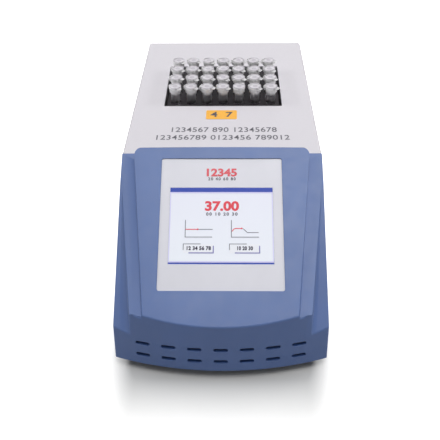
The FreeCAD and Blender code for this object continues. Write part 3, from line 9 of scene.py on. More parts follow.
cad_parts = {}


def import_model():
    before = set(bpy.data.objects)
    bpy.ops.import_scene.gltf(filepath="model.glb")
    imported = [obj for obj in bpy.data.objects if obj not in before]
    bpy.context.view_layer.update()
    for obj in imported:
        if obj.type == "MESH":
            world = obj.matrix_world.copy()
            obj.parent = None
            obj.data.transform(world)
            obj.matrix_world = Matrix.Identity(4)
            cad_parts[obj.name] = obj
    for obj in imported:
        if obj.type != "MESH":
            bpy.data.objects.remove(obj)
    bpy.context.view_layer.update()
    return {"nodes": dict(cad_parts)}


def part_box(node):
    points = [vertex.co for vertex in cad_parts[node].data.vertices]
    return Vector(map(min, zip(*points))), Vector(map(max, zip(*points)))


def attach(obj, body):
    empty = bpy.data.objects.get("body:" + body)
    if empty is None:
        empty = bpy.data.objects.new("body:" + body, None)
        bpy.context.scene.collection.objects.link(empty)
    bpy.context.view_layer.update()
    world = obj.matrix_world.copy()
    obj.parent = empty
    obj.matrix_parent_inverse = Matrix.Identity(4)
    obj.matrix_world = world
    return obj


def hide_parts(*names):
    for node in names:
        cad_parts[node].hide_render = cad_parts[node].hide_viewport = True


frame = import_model()

MM = 0.001
NODES = frame["nodes"]
random.seed(7)

# Sizes that several pieces share, in millimetres and degrees
HOOD_ANGLE = 31.8
ROW_LETTERS = "abcd"
WELL_COLUMNS = 7
COLUMN_PITCH = 13.4
PRINT_LIFT = 0.06
MARK_LIFT = 0.02
PRINT_SHEET = 0.05

# The bezel's outer edges, each between two corners of its right half, and how far a corner may be off them
BEZEL_LINES = (
    ((74.3, -155.7, 6.0), (74.3, -150.6, 31.3)),
    ((74.3, -150.6, 31.3), (74.3, -67.2, 94.2)),
    ((74.3, -67.2, 94.2), (74.3, -46.5, 106.4)),
    ((72.9, -67.2, 94.2), (62.5, -151.7, 44.2)),
    ((62.5, -151.7, 44.2), (62.1, -155.1, 27.9)),
    ((64.5, -51.5, 108.2), (53.2, -154.0, 44.8)),
)
LINE_REACH = 0.25
BEZEL_ROUNDING = 0.85

# The bezel's front lip: how far back it reaches, and its levels outside and inside the shoulders' inner side
LIP_BACK = -150.4
SHOULDER_INSIDE = 61.9
SHOULDER_LIP = (27.8, 31.4)
HOOD_LIP = (40.7, 45)

# The slots in the front face: the band that they lie in, and what tells their edges from the face's own:
# a run back of more than RUN_Y, or a climb of less than RUN_Z
VENT_BACK = -150
VENT_LEVELS = (11.5, 24.5)
VENT_SIDE = 68
VENT_RUN_Y = 1.8
VENT_RUN_Z = 2.5
VENT_CHAMFER = 0.1

# The window in the cover: a box round its upper edge
WINDOW_SIDE = 50
WINDOW_FRONT = 20
WINDOW_CHAMFER = 0.3

# The countersunk screws of the sides and of the mains inlet, and half the cross in their heads
SIDE_SCREWS_Y = (-25.5, 56.25, 138)
SIDE_SCREWS_Z = 15
INLET_SCREWS_X = (-50, -10)
INLET_SCREWS_Z = 37
SOCKET_FACE = 167
RECESS_REACH = 1.6
RECESS_WIDTH = 0.35
RECESS_DEPTH = 1

# Places of the two stops between which a noise changes a colour or a roughness
LOW_STOP = 0.3
HIGH_STOP = 0.7


# Hands: how a piece is picked up, shaped and put down
def work_on(piece):
    """Make one object the only selected one."""
    if bpy.context.object and bpy.context.object.mode == "EDIT":
        bpy.ops.object.mode_set(mode="OBJECT")
    bpy.ops.object.select_all(action="DESELECT")
    piece.select_set(True)
    bpy.context.view_layer.objects.active = piece
    return piece


def open_mesh(piece, kind="FACE"):
    """Go into edit mode with nothing selected."""
    work_on(piece)
    bpy.ops.object.mode_set(mode="EDIT")
    bpy.ops.mesh.select_mode(type=kind)
    bpy.ops.mesh.select_all(action="DESELECT")


def close_mesh():
    """Go back to object mode."""
    bpy.ops.object.mode_set(mode="OBJECT")


def pick_faces(piece, test):
    """Select only the faces whose middle and normal pass the test."""
    bpy.ops.mesh.select_mode(type="FACE")
    bpy.ops.mesh.select_all(action="DESELECT")
    mesh = bmesh.from_edit_mesh(piece.data)
    for face in mesh.faces:
        face.select_set(bool(test(face.calc_center_median(), face.normal)))
    bmesh.update_edit_mesh(piece.data)


def pick_edges(piece, test):
    """Select only the edges whose two ends pass the test."""
    bpy.ops.mesh.select_mode(type="EDGE")
    bpy.ops.mesh.select_all(action="DESELECT")
    mesh = bmesh.from_edit_mesh(piece.data)
    for edge in mesh.edges:
        edge.select_set(bool(test(edge.verts[0].co, edge.verts[1].co)))
    bmesh.update_edit_mesh(piece.data)


def push(x=0, y=0, z=0):
    """Extrude what is selected by a number of millimetres."""
    bpy.ops.mesh.extrude_region_move(TRANSFORM_OT_translate={"value": (x * MM, y * MM, z * MM)})


def inset(width):
    """Inset what is selected by a number of millimetres."""
    bpy.ops.mesh.inset(thickness=width * MM)


def scale_about(factors, centre=(0, 0, 0)):
    """Scale what is selected about a place in millimetres."""
    bpy.ops.transform.resize(value=factors, center_override=[c * MM for c in centre])


def cuboid(name, low, high):
    """A cube primitive at its size and place, ready to be shaped; corners in millimetres."""
    bpy.ops.object.select_all(action="DESELECT")
    middle = [(a + b) / 2 * MM for a, b in zip(low, high)]
    size = [(b - a) * MM for a, b in zip(low, high)]
    bpy.ops.mesh.primitive_cube_add(size=1, location=middle, scale=size)
    piece = bpy.context.object
    piece.name = name
    bpy.ops.object.transform_apply(location=True, rotation=True, scale=True)
    return piece


def drum(name, radius, low, high, sides=48):
    """A cylinder primitive on the Z axis, between two levels in millimetres."""
    bpy.ops.object.select_all(action="DESELECT")
    bpy.ops.mesh.primitive_cylinder_add(vertices=sides, radius=radius * MM, depth=(high - low) * MM,
                                        location=(0, 0, (low + high) / 2 * MM))
    piece = bpy.context.object
    piece.name = name
    bpy.ops.object.transform_apply(location=True, rotation=True, scale=True)
    return piece


def join(name, pieces):
    """Make one object of several, under a name."""
    bpy.ops.object.select_all(action="DESELECT")
    for piece in pieces:
        piece.select_set(True)
    bpy.context.view_layer.objects.active = pieces[0]
    bpy.ops.object.join()
    pieces[0].name = name
    return pieces[0]


def soften(piece, width, segments=3, angle=30):
    """Round the sharp edges by a width in millimetres."""
    work_on(piece)
    edges = piece.modifiers.new("round_edges", "BEVEL")
    edges.width = width * MM
    edges.segments = segments
    edges.limit_method = "ANGLE"
    edges.angle_limit = math.radians(angle)
    edges.use_clamp_overlap = True
    edges.miter_outer = "MITER_ARC"
    bpy.ops.object.modifier_apply(modifier=edges.name)
    return piece


def smooth(piece, angle=32):
    """Smooth shading over the round edges, with the wide faces left flat."""
    work_on(piece)
    bpy.ops.object.shade_smooth_by_angle(angle=math.radians(angle))
    level = piece.modifiers.new("flat_faces", "WEIGHTED_NORMAL")
    level.mode = "FACE_AREA"
    level.weight = 90
    level.keep_sharp = True
    bpy.ops.object.modifier_apply(modifier=level.name)
    return piece


def place(piece, matrix):
    """Put a piece where a matrix says and leave its place in its mesh."""
    work_on(piece)
    piece.matrix_world = matrix @ piece.matrix_world
    bpy.ops.object.transform_apply(location=True, rotation=True, scale=True)
    return piece


def take_copy(node, name):
    """A merged copy of a solid, as the start of a finished piece."""
    piece = bpy.data.objects.new(name, NODES[node].data.copy())
    bpy.context.scene.collection.objects.link(piece)
    open_mesh(piece)
    bpy.ops.mesh.select_all(action="SELECT")
    bpy.ops.mesh.remove_doubles(threshold=0.002 * MM)
    bpy.ops.mesh.dissolve_limited(angle_limit=math.radians(0.4))
    close_mesh()
    return piece


def hand_over(piece, body, slot, material, *replaced):
    """Give a finished piece its body and its finish, and hide the solids that it stands for. The slot is not
    used.
    """
    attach(piece, body)
    piece.data.materials.clear()
    piece.data.materials.append(material)
    if replaced:
        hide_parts(*replaced)
    return piece


# Finishes
def paint(red, green, blue):
    """An sRGB colour from 0 to 255 as the linear colour that a shader takes."""
    parts = [channel / 255 for channel in (red, green, blue)]
    return [p / 12.92 if p <= 0.04045 else ((p + 0.055) / 1.055) ** 2.4 for p in parts] + [1]


class Finish:
    """A node-based material that is built up in layers."""

    def __init__(self, name, **sockets):
        self.material = bpy.data.materials.new(name)
        self.material.use_nodes = True
        tree = self.material.node_tree
        tree.nodes.clear()
        self.nodes = tree.nodes
        self.links = tree.links
        self.shader = self.add("ShaderNodeBsdfPrincipled")
        self.output = self.add("ShaderNodeOutputMaterial")
        self.links.new(self.shader.outputs[0], self.output.inputs["Surface"])
        self.coordinates = self.add("ShaderNodeTexCoord").outputs["Object"]
        self.normal = None
        for socket, setting in sockets.items():
            self.shader.inputs[socket.replace("_", " ")].default_value = setting

    def add(self, kind):
        return self.nodes.new(kind)

    def calculate(self, operation, first, second):
        """A math node on an output and on a second output or a number."""
        step = self.add("ShaderNodeMath")
        step.operation = operation
        self.links.new(first, step.inputs[0])
        if isinstance(second, (int, float)):
            step.inputs[1].default_value = second
        else:
            self.links.new(second, step.inputs[1])
        return step.outputs[0]

    def climb(self, source, low, high):
        """Turn a value into 0 at a low place and 1 at a high one."""
        rise = self.add("ShaderNodeMapRange")
        rise.inputs["From Min"].default_value = low
        rise.inputs["From Max"].default_value = high
        self.links.new(source, rise.inputs["Value"])
        return rise.outputs[0]

    def height(self):
        """The Z coordinate of the piece's own space."""
        split = self.add("ShaderNodeSeparateXYZ")
        self.links.new(self.coordinates, split.inputs[0])
        return split.outputs["Z"]

    def mapped(self, turn=(0, 0, 0), stretch=(1, 1, 1)):
        """Coordinates that are turned and stretched for a grain with a direction."""
        mapping = self.add("ShaderNodeMapping")
        mapping.inputs["Rotation"].default_value = [math.radians(angle) for angle in turn]
        mapping.inputs["Scale"].default_value = stretch
        self.links.new(self.coordinates, mapping.inputs["Vector"])
        return mapping.outputs[0]

    def noise(self, size, detail=3, vector=None):
        """Cloudy noise whose features are about a size in millimetres."""
        texture = self.add("ShaderNodeTexNoise")
        texture.inputs["Scale"].default_value = 1 / (size * MM)
        texture.inputs["Detail"].default_value = detail
        self.links.new(vector or self.coordinates, texture.inputs["Vector"])
        return texture.outputs[0]

    def cells(self, size):
        """Cells about a size in millimetres, by the distance from their middles."""
        texture = self.add("ShaderNodeTexVoronoi")
        texture.inputs["Scale"].default_value = 1 / (size * MM)
        self.links.new(self.coordinates, texture.inputs["Vector"])
        return texture.outputs["Distance"]

    def ramp(self, source, stops):
        """Turn a value into a colour or a grey through stops of (place, colour)."""
        ramp = self.add("ShaderNodeValToRGB")
        band = ramp.color_ramp
        while len(band.elements) < len(stops):
            band.elements.new(0.5)
        for element, (where, colour) in zip(band.elements, stops):
            element.position = where
            element.color = colour if isinstance(colour, (list, tuple)) else (colour, colour, colour, 1)
        self.links.new(source, ramp.inputs["Fac"])
        return ramp.outputs["Color"]

    def colour(self, source, stops):
        """Let the base colour follow a value."""
        self.links.new(self.ramp(source, stops), self.shader.inputs["Base Color"])
        return self

    def roughness(self, source, low, high):
        """Let the roughness follow a value."""
        stops = ((LOW_STOP, low), (HIGH_STOP, high))
        self.links.new(self.ramp(source, stops), self.shader.inputs["Roughness"])
        return self

    def bump(self, source, depth, strength=1.0):
        """Relief of a depth in millimetres."""
        bump = self.add("ShaderNodeBump")
        bump.inputs["Strength"].default_value = strength
        bump.inputs["Distance"].default_value = depth * MM
        self.links.new(source, bump.inputs["Height"])
        if self.normal:
            self.links.new(self.normal, bump.inputs["Normal"])
        self.normal = bump.outputs[0]
        self.links.new(self.normal, self.shader.inputs["Normal"])
        return self


def tinted(finish, base, spread, source):
    """Vary a colour a little around its base."""
    dark = [channel * (1 - spread) for channel in base[:3]] + [1]
    pale = [min(1, channel * (1 + spread)) for channel in base[:3]] + [1]
    return finish.colour(source, ((LOW_STOP, dark), (HIGH_STOP, pale)))


def moulded_plastic(name, base, grain=0.35, relief=0.012, shine=(0.38, 0.52), density=1.5):
    """Injection-moulded plastic with a fine spark-eroded grain."""
    finish = Finish(name, IOR=density)
    tinted(finish, base, 0.05, finish.noise(38, 2))
    finish.roughness(finish.noise(6, 3), *shine)
    finish.bump(finish.noise(grain, 2), relief, 0.6)
    return finish.material


def powder_coat(name, base):
    """Sprayed coat with a slight orange peel and fine specks."""
    finish = Finish(name, IOR=1.5)
    tinted(finish, base, 0.025, finish.noise(0.5, 3))
    finish.roughness(finish.noise(3, 2), 0.42, 0.56)
    finish.bump(finish.noise(1.6, 2), 0.02, 0.55)
    finish.bump(finish.noise(0.3, 2), 0.006, 0.4)
    return finish.material


def printed_film(name, base):
    """Screen-printed polyester film with a velvet face."""
    finish = Finish(name, IOR=1.55)
    tinted(finish, base, 0.02, finish.noise(22, 2))
    finish.roughness(finish.noise(2.5, 2), 0.34, 0.46)
    finish.bump(finish.cells(0.12), 0.003, 0.5)
    return finish.material


def ink(name, base, shine=0.45):
    """Printed ink that varies a little in density."""
    finish = Finish(name, Roughness=shine)
    tinted(finish, base, 0.06, finish.noise(0.8, 3))
    finish.bump(finish.noise(0.15, 2), 0.003, 0.4)
    return finish.material


def light_ink(name, base, glow):
    """A coloured area of the lit display."""
    finish = Finish(name, Roughness=0.3, Specular_IOR_Level=0.2, Emission_Color=base,
                    Emission_Strength=glow)
    tinted(finish, base, 0.02, finish.noise(0.6, 2))
    return finish.material


def metal(name, base, shine, grain=(1, 1, 1), scratches=0.004):
    """Plain metal with a directional grain."""
    finish = Finish(name, Metallic=1)
    lines = finish.noise(0.25, 4, finish.mapped(stretch=grain))
    tinted(finish, base, 0.1, finish.noise(7, 3))
    finish.roughness(lines, *shine)
    finish.bump(lines, scratches, 0.5)
    return finish.material


def galvanised(name):
    """Zinc-coated sheet with large soft spangles."""
    finish = Finish(name, Metallic=1)
    spangle = finish.cells(7)
    finish.colour(spangle, ((0.1, paint(168, 170, 174)), (0.8, paint(192, 194, 198))))
    finish.roughness(spangle, 0.36, 0.52)
    finish.bump(finish.noise(0.4, 3), 0.005, 0.4)
    return finish.material


def black_anodised(name):
    """Machined aluminium under a black anodised coat, with faint cutter marks."""
    finish = Finish(name, Specular_IOR_Level=0.2)
    marks = finish.noise(0.35, 4, finish.mapped(stretch=(0.05, 1, 1)))
    stops = ((LOW_STOP, paint(17, 12, 18)), (HIGH_STOP, paint(28, 21, 29)))
    finish.colour(finish.noise(9, 3), stops)
    finish.roughness(marks, 0.4, 0.58)
    finish.bump(marks, 0.006, 0.5)
    return finish.material


def cloudy_plastic(name, clear_below, milky_above, lid_top):
    """Natural polypropylene: milky in lid and collar, clear in the barrel, with painted shade that greys the
    lid's top plate against the whiter walls below it.
    """
    finish = Finish(name, IOR=1.49, Subsurface_Scale=0.004)
    finish.shader.inputs["Subsurface Radius"].default_value = (1, 1, 1)
    height = finish.height()
    level = finish.climb(height, clear_below, milky_above)
    finish.links.new(finish.ramp(level, ((0, 0.97), (1, 0.04))), finish.shader.inputs["Transmission Weight"])
    finish.links.new(finish.ramp(level, ((0, 0), (1, 1))), finish.shader.inputs["Subsurface Weight"])
    # Painted shade: the lid's top plate is greyer than the whiter walls below it, so the light from above
    # leaves the top no brighter than the sides
    painted_shade = finish.climb(height, lid_top - 0.7 * MM, lid_top)
    finish.colour(painted_shade, ((0, paint(252, 251, 253)), (1, paint(186, 181, 190))))
    finish.roughness(finish.noise(1.5, 2), 0.28, 0.4)
    finish.bump(finish.noise(1.2, 2), 0.01, 0.3)
    return finish.material


def dull_rubber(name):
    """Black rubber with a dull, slightly pitted skin."""
    finish = Finish(name)
    tinted(finish, paint(34, 34, 36), 0.2, finish.noise(2, 3))
    finish.roughness(finish.noise(1, 3), 0.72, 0.9)
    finish.bump(finish.noise(0.35, 3), 0.03, 0.6)
    return finish.material


def pressed_fibre(name, base):
    """Insulation of matted fibres."""
    finish = Finish(name, Roughness=0.95, Sheen_Weight=0.3)
    strands = finish.noise(0.5, 5, finish.mapped(turn=(0, 0, 35), stretch=(1, 0.2, 1)))
    tinted(finish, base, 0.16, strands)
    finish.bump(strands, 0.25, 0.8)
    return finish.material


def board_laminate(name):
    """Green solder mask with faint copper tracks below it."""
    finish = Finish(name, Roughness=0.32)
    tracks = finish.add("ShaderNodeTexBrick")
    tracks.inputs["Scale"].default_value = 1 / (9 * MM)
    tracks.inputs["Mortar Size"].default_value = 0.05
    tracks.inputs["Color1"].default_value = paint(22, 92, 52)
    tracks.inputs["Color2"].default_value = paint(18, 82, 48)
    tracks.inputs["Mortar"].default_value = paint(44, 122, 70)
    finish.links.new(finish.coordinates, tracks.inputs["Vector"])
    finish.links.new(tracks.outputs["Color"], finish.shader.inputs["Base Color"])
    finish.bump(finish.noise(1.2, 2), 0.02, 0.4)
    return finish.material


def display_ground(name):
    """The lit ground of the display, whiter at its foot and a little bluer at its head."""
    glow = paint(236, 239, 252)
    finish = Finish(name, Roughness=0.35, Specular_IOR_Level=0.25, Coat_Weight=0.08, Coat_Roughness=0.05,
                    Emission_Color=glow, Emission_Strength=0.35)
    low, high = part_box("touch_glass")
    rise = finish.climb(finish.height(), low.z, high.z)
    finish.colour(rise, ((0, paint(202, 207, 212)), (1, paint(196, 197, 208))))
    finish.bump(finish.noise(0.3, 2), 0.001, 0.3)
    return finish.material


# The block's top, and levels above it in millimetres: where a tube's plastic turns from clear to milky, and
# the top of the painted shade that greys the lid's plate
TOP_OF_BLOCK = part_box("heating_block")[1].z
CLEAR_BELOW = 6.8
MILKY_ABOVE = 8.6
SHADED_LID_TOP = 14.2

BLUE = moulded_plastic("blue_moulding", paint(77, 105, 161), 0.35, 0.012, (0.32, 0.44), 1.6)
COVER = powder_coat("pale_powder_coat", paint(208, 205, 211))
FILM = printed_film("overlay_film", paint(223, 223, 232))
BLOCK = black_anodised("black_anodised_block")
CLOUDY = cloudy_plastic("cloudy_polypropylene", TOP_OF_BLOCK + CLEAR_BELOW * MM,
                        TOP_OF_BLOCK + MILKY_ABOVE * MM, TOP_OF_BLOCK + SHADED_LID_TOP * MM)
RUBBER = dull_rubber("foot_rubber")
ZINC = metal("zinc_plate", paint(188, 190, 194), (0.26, 0.4))
STEEL_SHEET = galvanised("galvanised_sheet")
MACHINED = metal("machined_aluminium", paint(196, 197, 200), (0.24, 0.4), (0.06, 1, 1))
NICKEL = metal("nickel_plate", paint(205, 202, 194), (0.14, 0.24))
BLACK_NYLON = moulded_plastic("black_nylon", paint(26, 26, 28), 0.3, 0.02, (0.42, 0.58))
ROCKER_GLOSS = moulded_plastic("rocker_gloss", paint(20, 20, 22), 0.6, 0.004, (0.2, 0.3))
SILICONE = moulded_plastic("heater_silicone", paint(186, 92, 48), 0.8, 0.03, (0.6, 0.75))
FIBRE = pressed_fibre("pressed_fibre", paint(214, 208, 196))
LAMINATE = board_laminate("board_laminate")
LAMINATIONS = metal("varnished_laminations", paint(122, 108, 88), (0.4, 0.55), (1, 1, 0.05), 0.03)
PHENOLIC = moulded_plastic("phenolic", paint(52, 40, 34), 0.5, 0.01, (0.3, 0.42))
FUSE_GLASS = Finish("fuse_glass", Roughness=0.05, Transmission_Weight=0.9, IOR=1.5)
FUSE_GLASS.bump(FUSE_GLASS.noise(2), 0.01, 0.2)
SCREEN = display_ground("display_ground")
AMBER = ink("amber_label", paint(240, 176, 62), 0.4)
DARK_INK = ink("dark_ink", paint(78, 76, 84))
GREY_INK = ink("grey_ink", paint(90, 90, 98))
RED_INK = ink("red_ink", paint(222, 84, 96))
WHITE_INK = ink("white_ink", paint(226, 226, 228))
LIT_BLUE = light_ink("lit_blue", paint(46, 68, 160), 0.25)
LIT_PALE_BLUE = light_ink("lit_pale_blue", paint(200, 198, 228), 0.25)
LIT_GREY = light_ink("lit_grey", paint(112, 112, 124), 0.1)
LIT_RED = light_ink("lit_red", paint(208, 66, 80), 0.25)
LIT_BUTTON = light_ink("lit_button", paint(213, 215, 222), 0.35)
LIT_SHADE = light_ink("lit_shade", paint(108, 106, 166), 0.2)
LIT_DARK = light_ink("lit_dark", paint(48, 44, 66), 0.1)

# The finishes of the solids that stay as they are
INNER_FINISHES = {
    "heater_plate": MACHINED,
    "temperature_probe": ZINC,
    "heater_mat": SILICONE,
    "clamp_plate": STEEL_SHEET,
    "insulation_pad": FIBRE,
    "insulation_jacket": FIBRE,
    "insulation_tray": STEEL_SHEET,
    "well_liner": STEEL_SHEET,
    "plate_posts": ZINC,
    "thermal_cutout": PHENOLIC,
    "display_module": BLACK_NYLON,
    "control_board": LAMINATE,
    "power_board": LAMINATE,
    "transformer": LAMINATIONS,
    "inlet_pins": NICKEL,
    "fuses": FUSE_GLASS.material,
    "base_pan": STEEL_SHEET,
    "base_screws": ZINC,
    "board_screws": ZINC,
    "hex_nuts": ZINC,
    "spacers": ZINC,
}


def finish_inner_nodes():
    """Give each solid that stays its material."""
    for node, material in INNER_FINISHES.items():
        NODES[node].data.materials.clear()
        NODES[node].data.materials.append(material)


# Housing: the visible solids with their edges rounded as a mould or a press leaves them
def lies_on(point, start, finish):
    """Whether a point lies on a line between two places in millimetres, on either side of the middle."""
    spot = Vector((abs(point.x), point.y, point.z)) / MM
    run = Vector(finish) - Vector(start)
    share = max(0, min(1, (spot - Vector(start)).dot(run) / run.length_squared))
    return (spot - Vector(start) - run * share).length < LINE_REACH


def on_bezel_line(a, b):
    """Whether an edge is one of the moulding's outer edges."""
    if any(lies_on(a, *line) and lies_on(b, *line) for line in BEZEL_LINES):
        return True
    return all(on_front_lip(point) for point in (a, b))


def on_front_lip(point):
    """Whether a point lies where the shoulders, the ledges and the hood meet the front face."""
    x, y, z = abs(point.x) / MM, point.y / MM, point.z / MM
    if y > LIP_BACK:
        return False
    low, high = SHOULDER_LIP if x > SHOULDER_INSIDE else HOOD_LIP
    return low < z < high


def in_vents(a, b):
    """Whether an edge belongs to one of the slots in the front face."""
    low, high = VENT_LEVELS
    for point in (a, b):
        x, y, z = abs(point.x) / MM, point.y / MM, point.z / MM
        if y >= VENT_BACK or x >= VENT_SIDE or not low < z < high:
            return False
    return abs(a.y - b.y) / MM > VENT_RUN_Y or abs(a.z - b.z) / MM < VENT_RUN_Z


def bezel():
    """The hood moulding, with its long outer edges rounded and the slots' edges broken."""
    piece = take_copy("front_bezel", "bezel_moulding")
    open_mesh(piece, "EDGE")
    pick_edges(piece, on_bezel_line)
    bpy.ops.mesh.bevel(offset=BEZEL_ROUNDING * MM, segments=3, affect="EDGES", clamp_overlap=False)
    pick_edges(piece, in_vents)
    bpy.ops.mesh.bevel(offset=VENT_CHAMFER * MM, segments=1, affect="EDGES", clamp_overlap=True)
    close_mesh()
    smooth(piece, 36)
    hand_over(piece, "housing", "bezel", BLUE, "front_bezel")


def cover():
    """The folded cover, with the edge of its window broken."""
    piece = take_copy("rear_cover", "cover_shell")
    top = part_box("rear_cover")[1].z

    def round_window(a, b):
        return (min(a.z, b.z) > top - 0.01 * MM and max(abs(a.x), abs(b.x)) < WINDOW_SIDE * MM
                and min(a.y, b.y) > WINDOW_FRONT * MM)

    open_mesh(piece, "EDGE")
    pick_edges(piece, round_window)
    bpy.ops.mesh.bevel(offset=WINDOW_CHAMFER * MM, segments=2, affect="EDGES", clamp_overlap=False)
    close_mesh()
    smooth(piece)
    hand_over(piece, "housing", "cover", COVER, "rear_cover")


def housing():
    """The fixed visible pieces."""
    bezel()
    cover()
    for node, name, width, slot, material in (
            ("panel_overlay", "overlay_sheet", 0.15, "overlay", FILM),
            ("touch_glass", "display_glass", 0.2, "screen", SCREEN),
            ("rubber_feet", "foot_pads", 0.7, "feet", RUBBER),
            ("inlet_socket", "inlet_body", 0.5, "fixture", BLACK_NYLON),
            ("switch_frame", "switch_bezel", 0.4, "fixture", BLACK_NYLON)):
        piece = take_copy(node, name)
        soften(piece, width)
        smooth(piece)
        hand_over(piece, "housing", slot, material, node)


def screw_heads():
    """Where the countersunk heads lie, in millimetres, each with the axis that it faces along."""
    spots = []
    for corner in (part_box("flat_head_screws")[0].x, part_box("flat_head_screws")[1].x):
        spots += [((corner / MM, y, SIDE_SCREWS_Z), 0) for y in SIDE_SCREWS_Y]
    return spots + [((x, SOCKET_FACE, INLET_SCREWS_Z), 1) for x in INLET_SCREWS_X]


def cross_recesses():
    """The countersunk screws, with a cross cut into every head."""
    piece = take_copy("flat_head_screws", "recessed_screws")
    for tall in (True, False):
        bars = []
        for middle, axis in screw_heads():
            half = [RECESS_WIDTH] * 3
            half[axis] = RECESS_DEPTH
            half[2 if tall else 1 - axis] = RECESS_REACH
            low = [m - h for m, h in zip(middle, half)]
            high = [m + h for m, h in zip(middle, half)]
            bars.append(cuboid("recess_bar", low, high))
        cutter = join("recess_cutter", bars)
        work_on(piece)
        cut = piece.modifiers.new("recess", "BOOLEAN")
        cut.operation = "DIFFERENCE"
        cut.object = cutter
        bpy.ops.object.modifier_apply(modifier=cut.name)
        bpy.data.objects.remove(cutter)
    smooth(piece)
    hand_over(piece, "housing", "fixture", ZINC, "flat_head_screws")


def moving_fixtures():
    """The rocker and the fuse drawer, which move."""
    for node, name, width, body, material in (
            ("switch_rocker", "rocker_cap", 0.5, "rocker", ROCKER_GLOSS),
            ("fuse_drawer", "drawer_moulding", 0.3, "drawer", BLACK_NYLON)):
        piece = take_copy(node, name)
        soften(piece, width)
        smooth(piece)
        hand_over(piece, body, "fixture", material, node)


def rocker_marks():
    """The two plain position marks of the switch, on the halves of its rocker."""
    outer = [face for face in bpy.data.objects["rocker_cap"].data.polygons if face.normal.y > 0.9]
    halves = sorted(outer, key=lambda face: -face.area)[:2]
    low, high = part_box("switch_frame")
    for face in halves:
        upper = face.center.z > low.z / 2 + high.z / 2
        outward = face.normal.normalized()
        across = Vector((-1, 0, 0))
        matrix = Matrix((across, outward.cross(across), outward)).transposed().to_4x4()
        matrix.translation = face.center + outward * MARK_LIFT * MM
        if upper:
            mark = flat_print("rocker_mark_upper", 0.6, 4, (0, 0), 0.2)
        else:
            mark = number("rocker_mark_lower", "0", 4, (0, 0), 1.2)
        hand_over(place(mark, matrix), "rocker", "fixture", WHITE_INK)


def heating_block():
    """The block, whose machined edges stay sharp."""
    piece = take_copy("heating_block", "block_machined")
    smooth(piece)
    hand_over(piece, "block", "block", BLOCK, "heating_block")


# Microtubes: one is modelled, then copied into every well. Levels are above the block's top, in millimetres
TUBE_STAND = 14.38
LID_RADIUS = 5.1
LID_FOOT = 12.3
LID_RIM = 0.7
LID_SINK = 0.4
LID_FILLET = 0.3
LID_RING = 2.1
LID_BOSS = 0.2
SNAP_GROOVE = 0.25
SNAP_FLARE = 1.055
COLLAR_RADIUS = 4.7
COLLAR_FOOT = 9.3
TUBE_RADIUS = 3.75
TAPER_TOP = -10.6
TUBE_TIP = -16.3
TIP_ROUNDING = 1
TAPER_SHARE = 0.62
TIP_SHARE = 0.6
TAB_END = 7.5
TAB_HALF = 2.3
STRAP_HALF = 2.1
# The strap's bends from the lid down to the collar, as steps outwards and up
STRAP_STEPS = ((-0.45, -0.9), (0.05, -1.2), (1.0, -1.1), (1.2, -0.2))
# In degrees: the turn of two tubes in the front row, the usual turn and its step, and how far one may lean
TURNED_TUBES = {"tube_a5": 64, "tube_a3": -26}
USUAL_TWIST = -40
TWIST_STEP = 4
LEAN = 0.7


def tube_pattern():
    """A closed snap-cap tube that stands on the Z axis, its block's face at level 0."""
    body = drum("tube_pattern", LID_RADIUS, LID_FOOT, TUBE_STAND)
    open_mesh(body)
    pick_faces(body, lambda middle, normal: normal.z > 0.9)
    inset(LID_RIM)
    push(z=-LID_SINK)
    inset(LID_FILLET)
    inset(LID_RING)
    push(z=LID_BOSS)
    pick_faces(body, lambda middle, normal: normal.z < -0.9)
    inset(LID_RADIUS - COLLAR_RADIUS + SNAP_GROOVE)
    push(z=-SNAP_GROOVE)
    push()
    scale_about((SNAP_FLARE, SNAP_FLARE, 1))
    push(z=COLLAR_FOOT - LID_FOOT + SNAP_GROOVE)
    inset(COLLAR_RADIUS - TUBE_RADIUS)
    push(z=TAPER_TOP - COLLAR_FOOT)
    push(z=TUBE_TIP - TAPER_TOP + TIP_ROUNDING)
    scale_about((TAPER_SHARE, TAPER_SHARE, 1))
    push(z=-TIP_ROUNDING)
    scale_about((TIP_SHARE, TIP_SHARE, 1))
    close_mesh()
    soften(body, 0.24, 3)
    tab = cuboid("tube_tab", (LID_RADIUS - 1.2, -TAB_HALF, TUBE_STAND - 1.5),
                 (TAB_END, TAB_HALF, TUBE_STAND - 0.4))
    open_mesh(tab)
    pick_faces(tab, lambda middle, normal: normal.x > 0.9)
    scale_about((1, 0.74, 0.75), (TAB_END, 0, TUBE_STAND - 1))
    close_mesh()
    soften(tab, 0.3, 3)
    strap = cuboid("tube_strap", (-LID_RADIUS - 0.9, -STRAP_HALF, TUBE_STAND - 1.5),
                   (-LID_RADIUS + 0.9, STRAP_HALF, TUBE_STAND - 0.5))
    open_mesh(strap)
    pick_faces(strap, lambda middle, normal: normal.x < -0.9)
    for outwards, up in STRAP_STEPS:
        push(x=outwards, z=up)
    close_mesh()
    soften(strap, 0.18, 2)
    pattern = join("tube_pattern", [body, tab, strap])
    return smooth(pattern, 40)


def well_rows():
    """Where the rows of wells lie along Y, from the tubes' own boxes."""
    rows = []
    for letter in ROW_LETTERS:
        middles = []
        for column in range(1, WELL_COLUMNS + 1):
            low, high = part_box("tube_%s%d" % (letter, column))
            middles.append((low.y + high.y) / 2)
        rows.append(sum(middles) / len(middles))
    pitch = (rows[-1] - rows[0]) / 3
    middle = sum(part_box("heating_block")[i].y for i in (0, 1)) / 2
    return [middle + (index - 1.5) * pitch for index in range(4)]


WELL_ROWS_Y = well_rows()


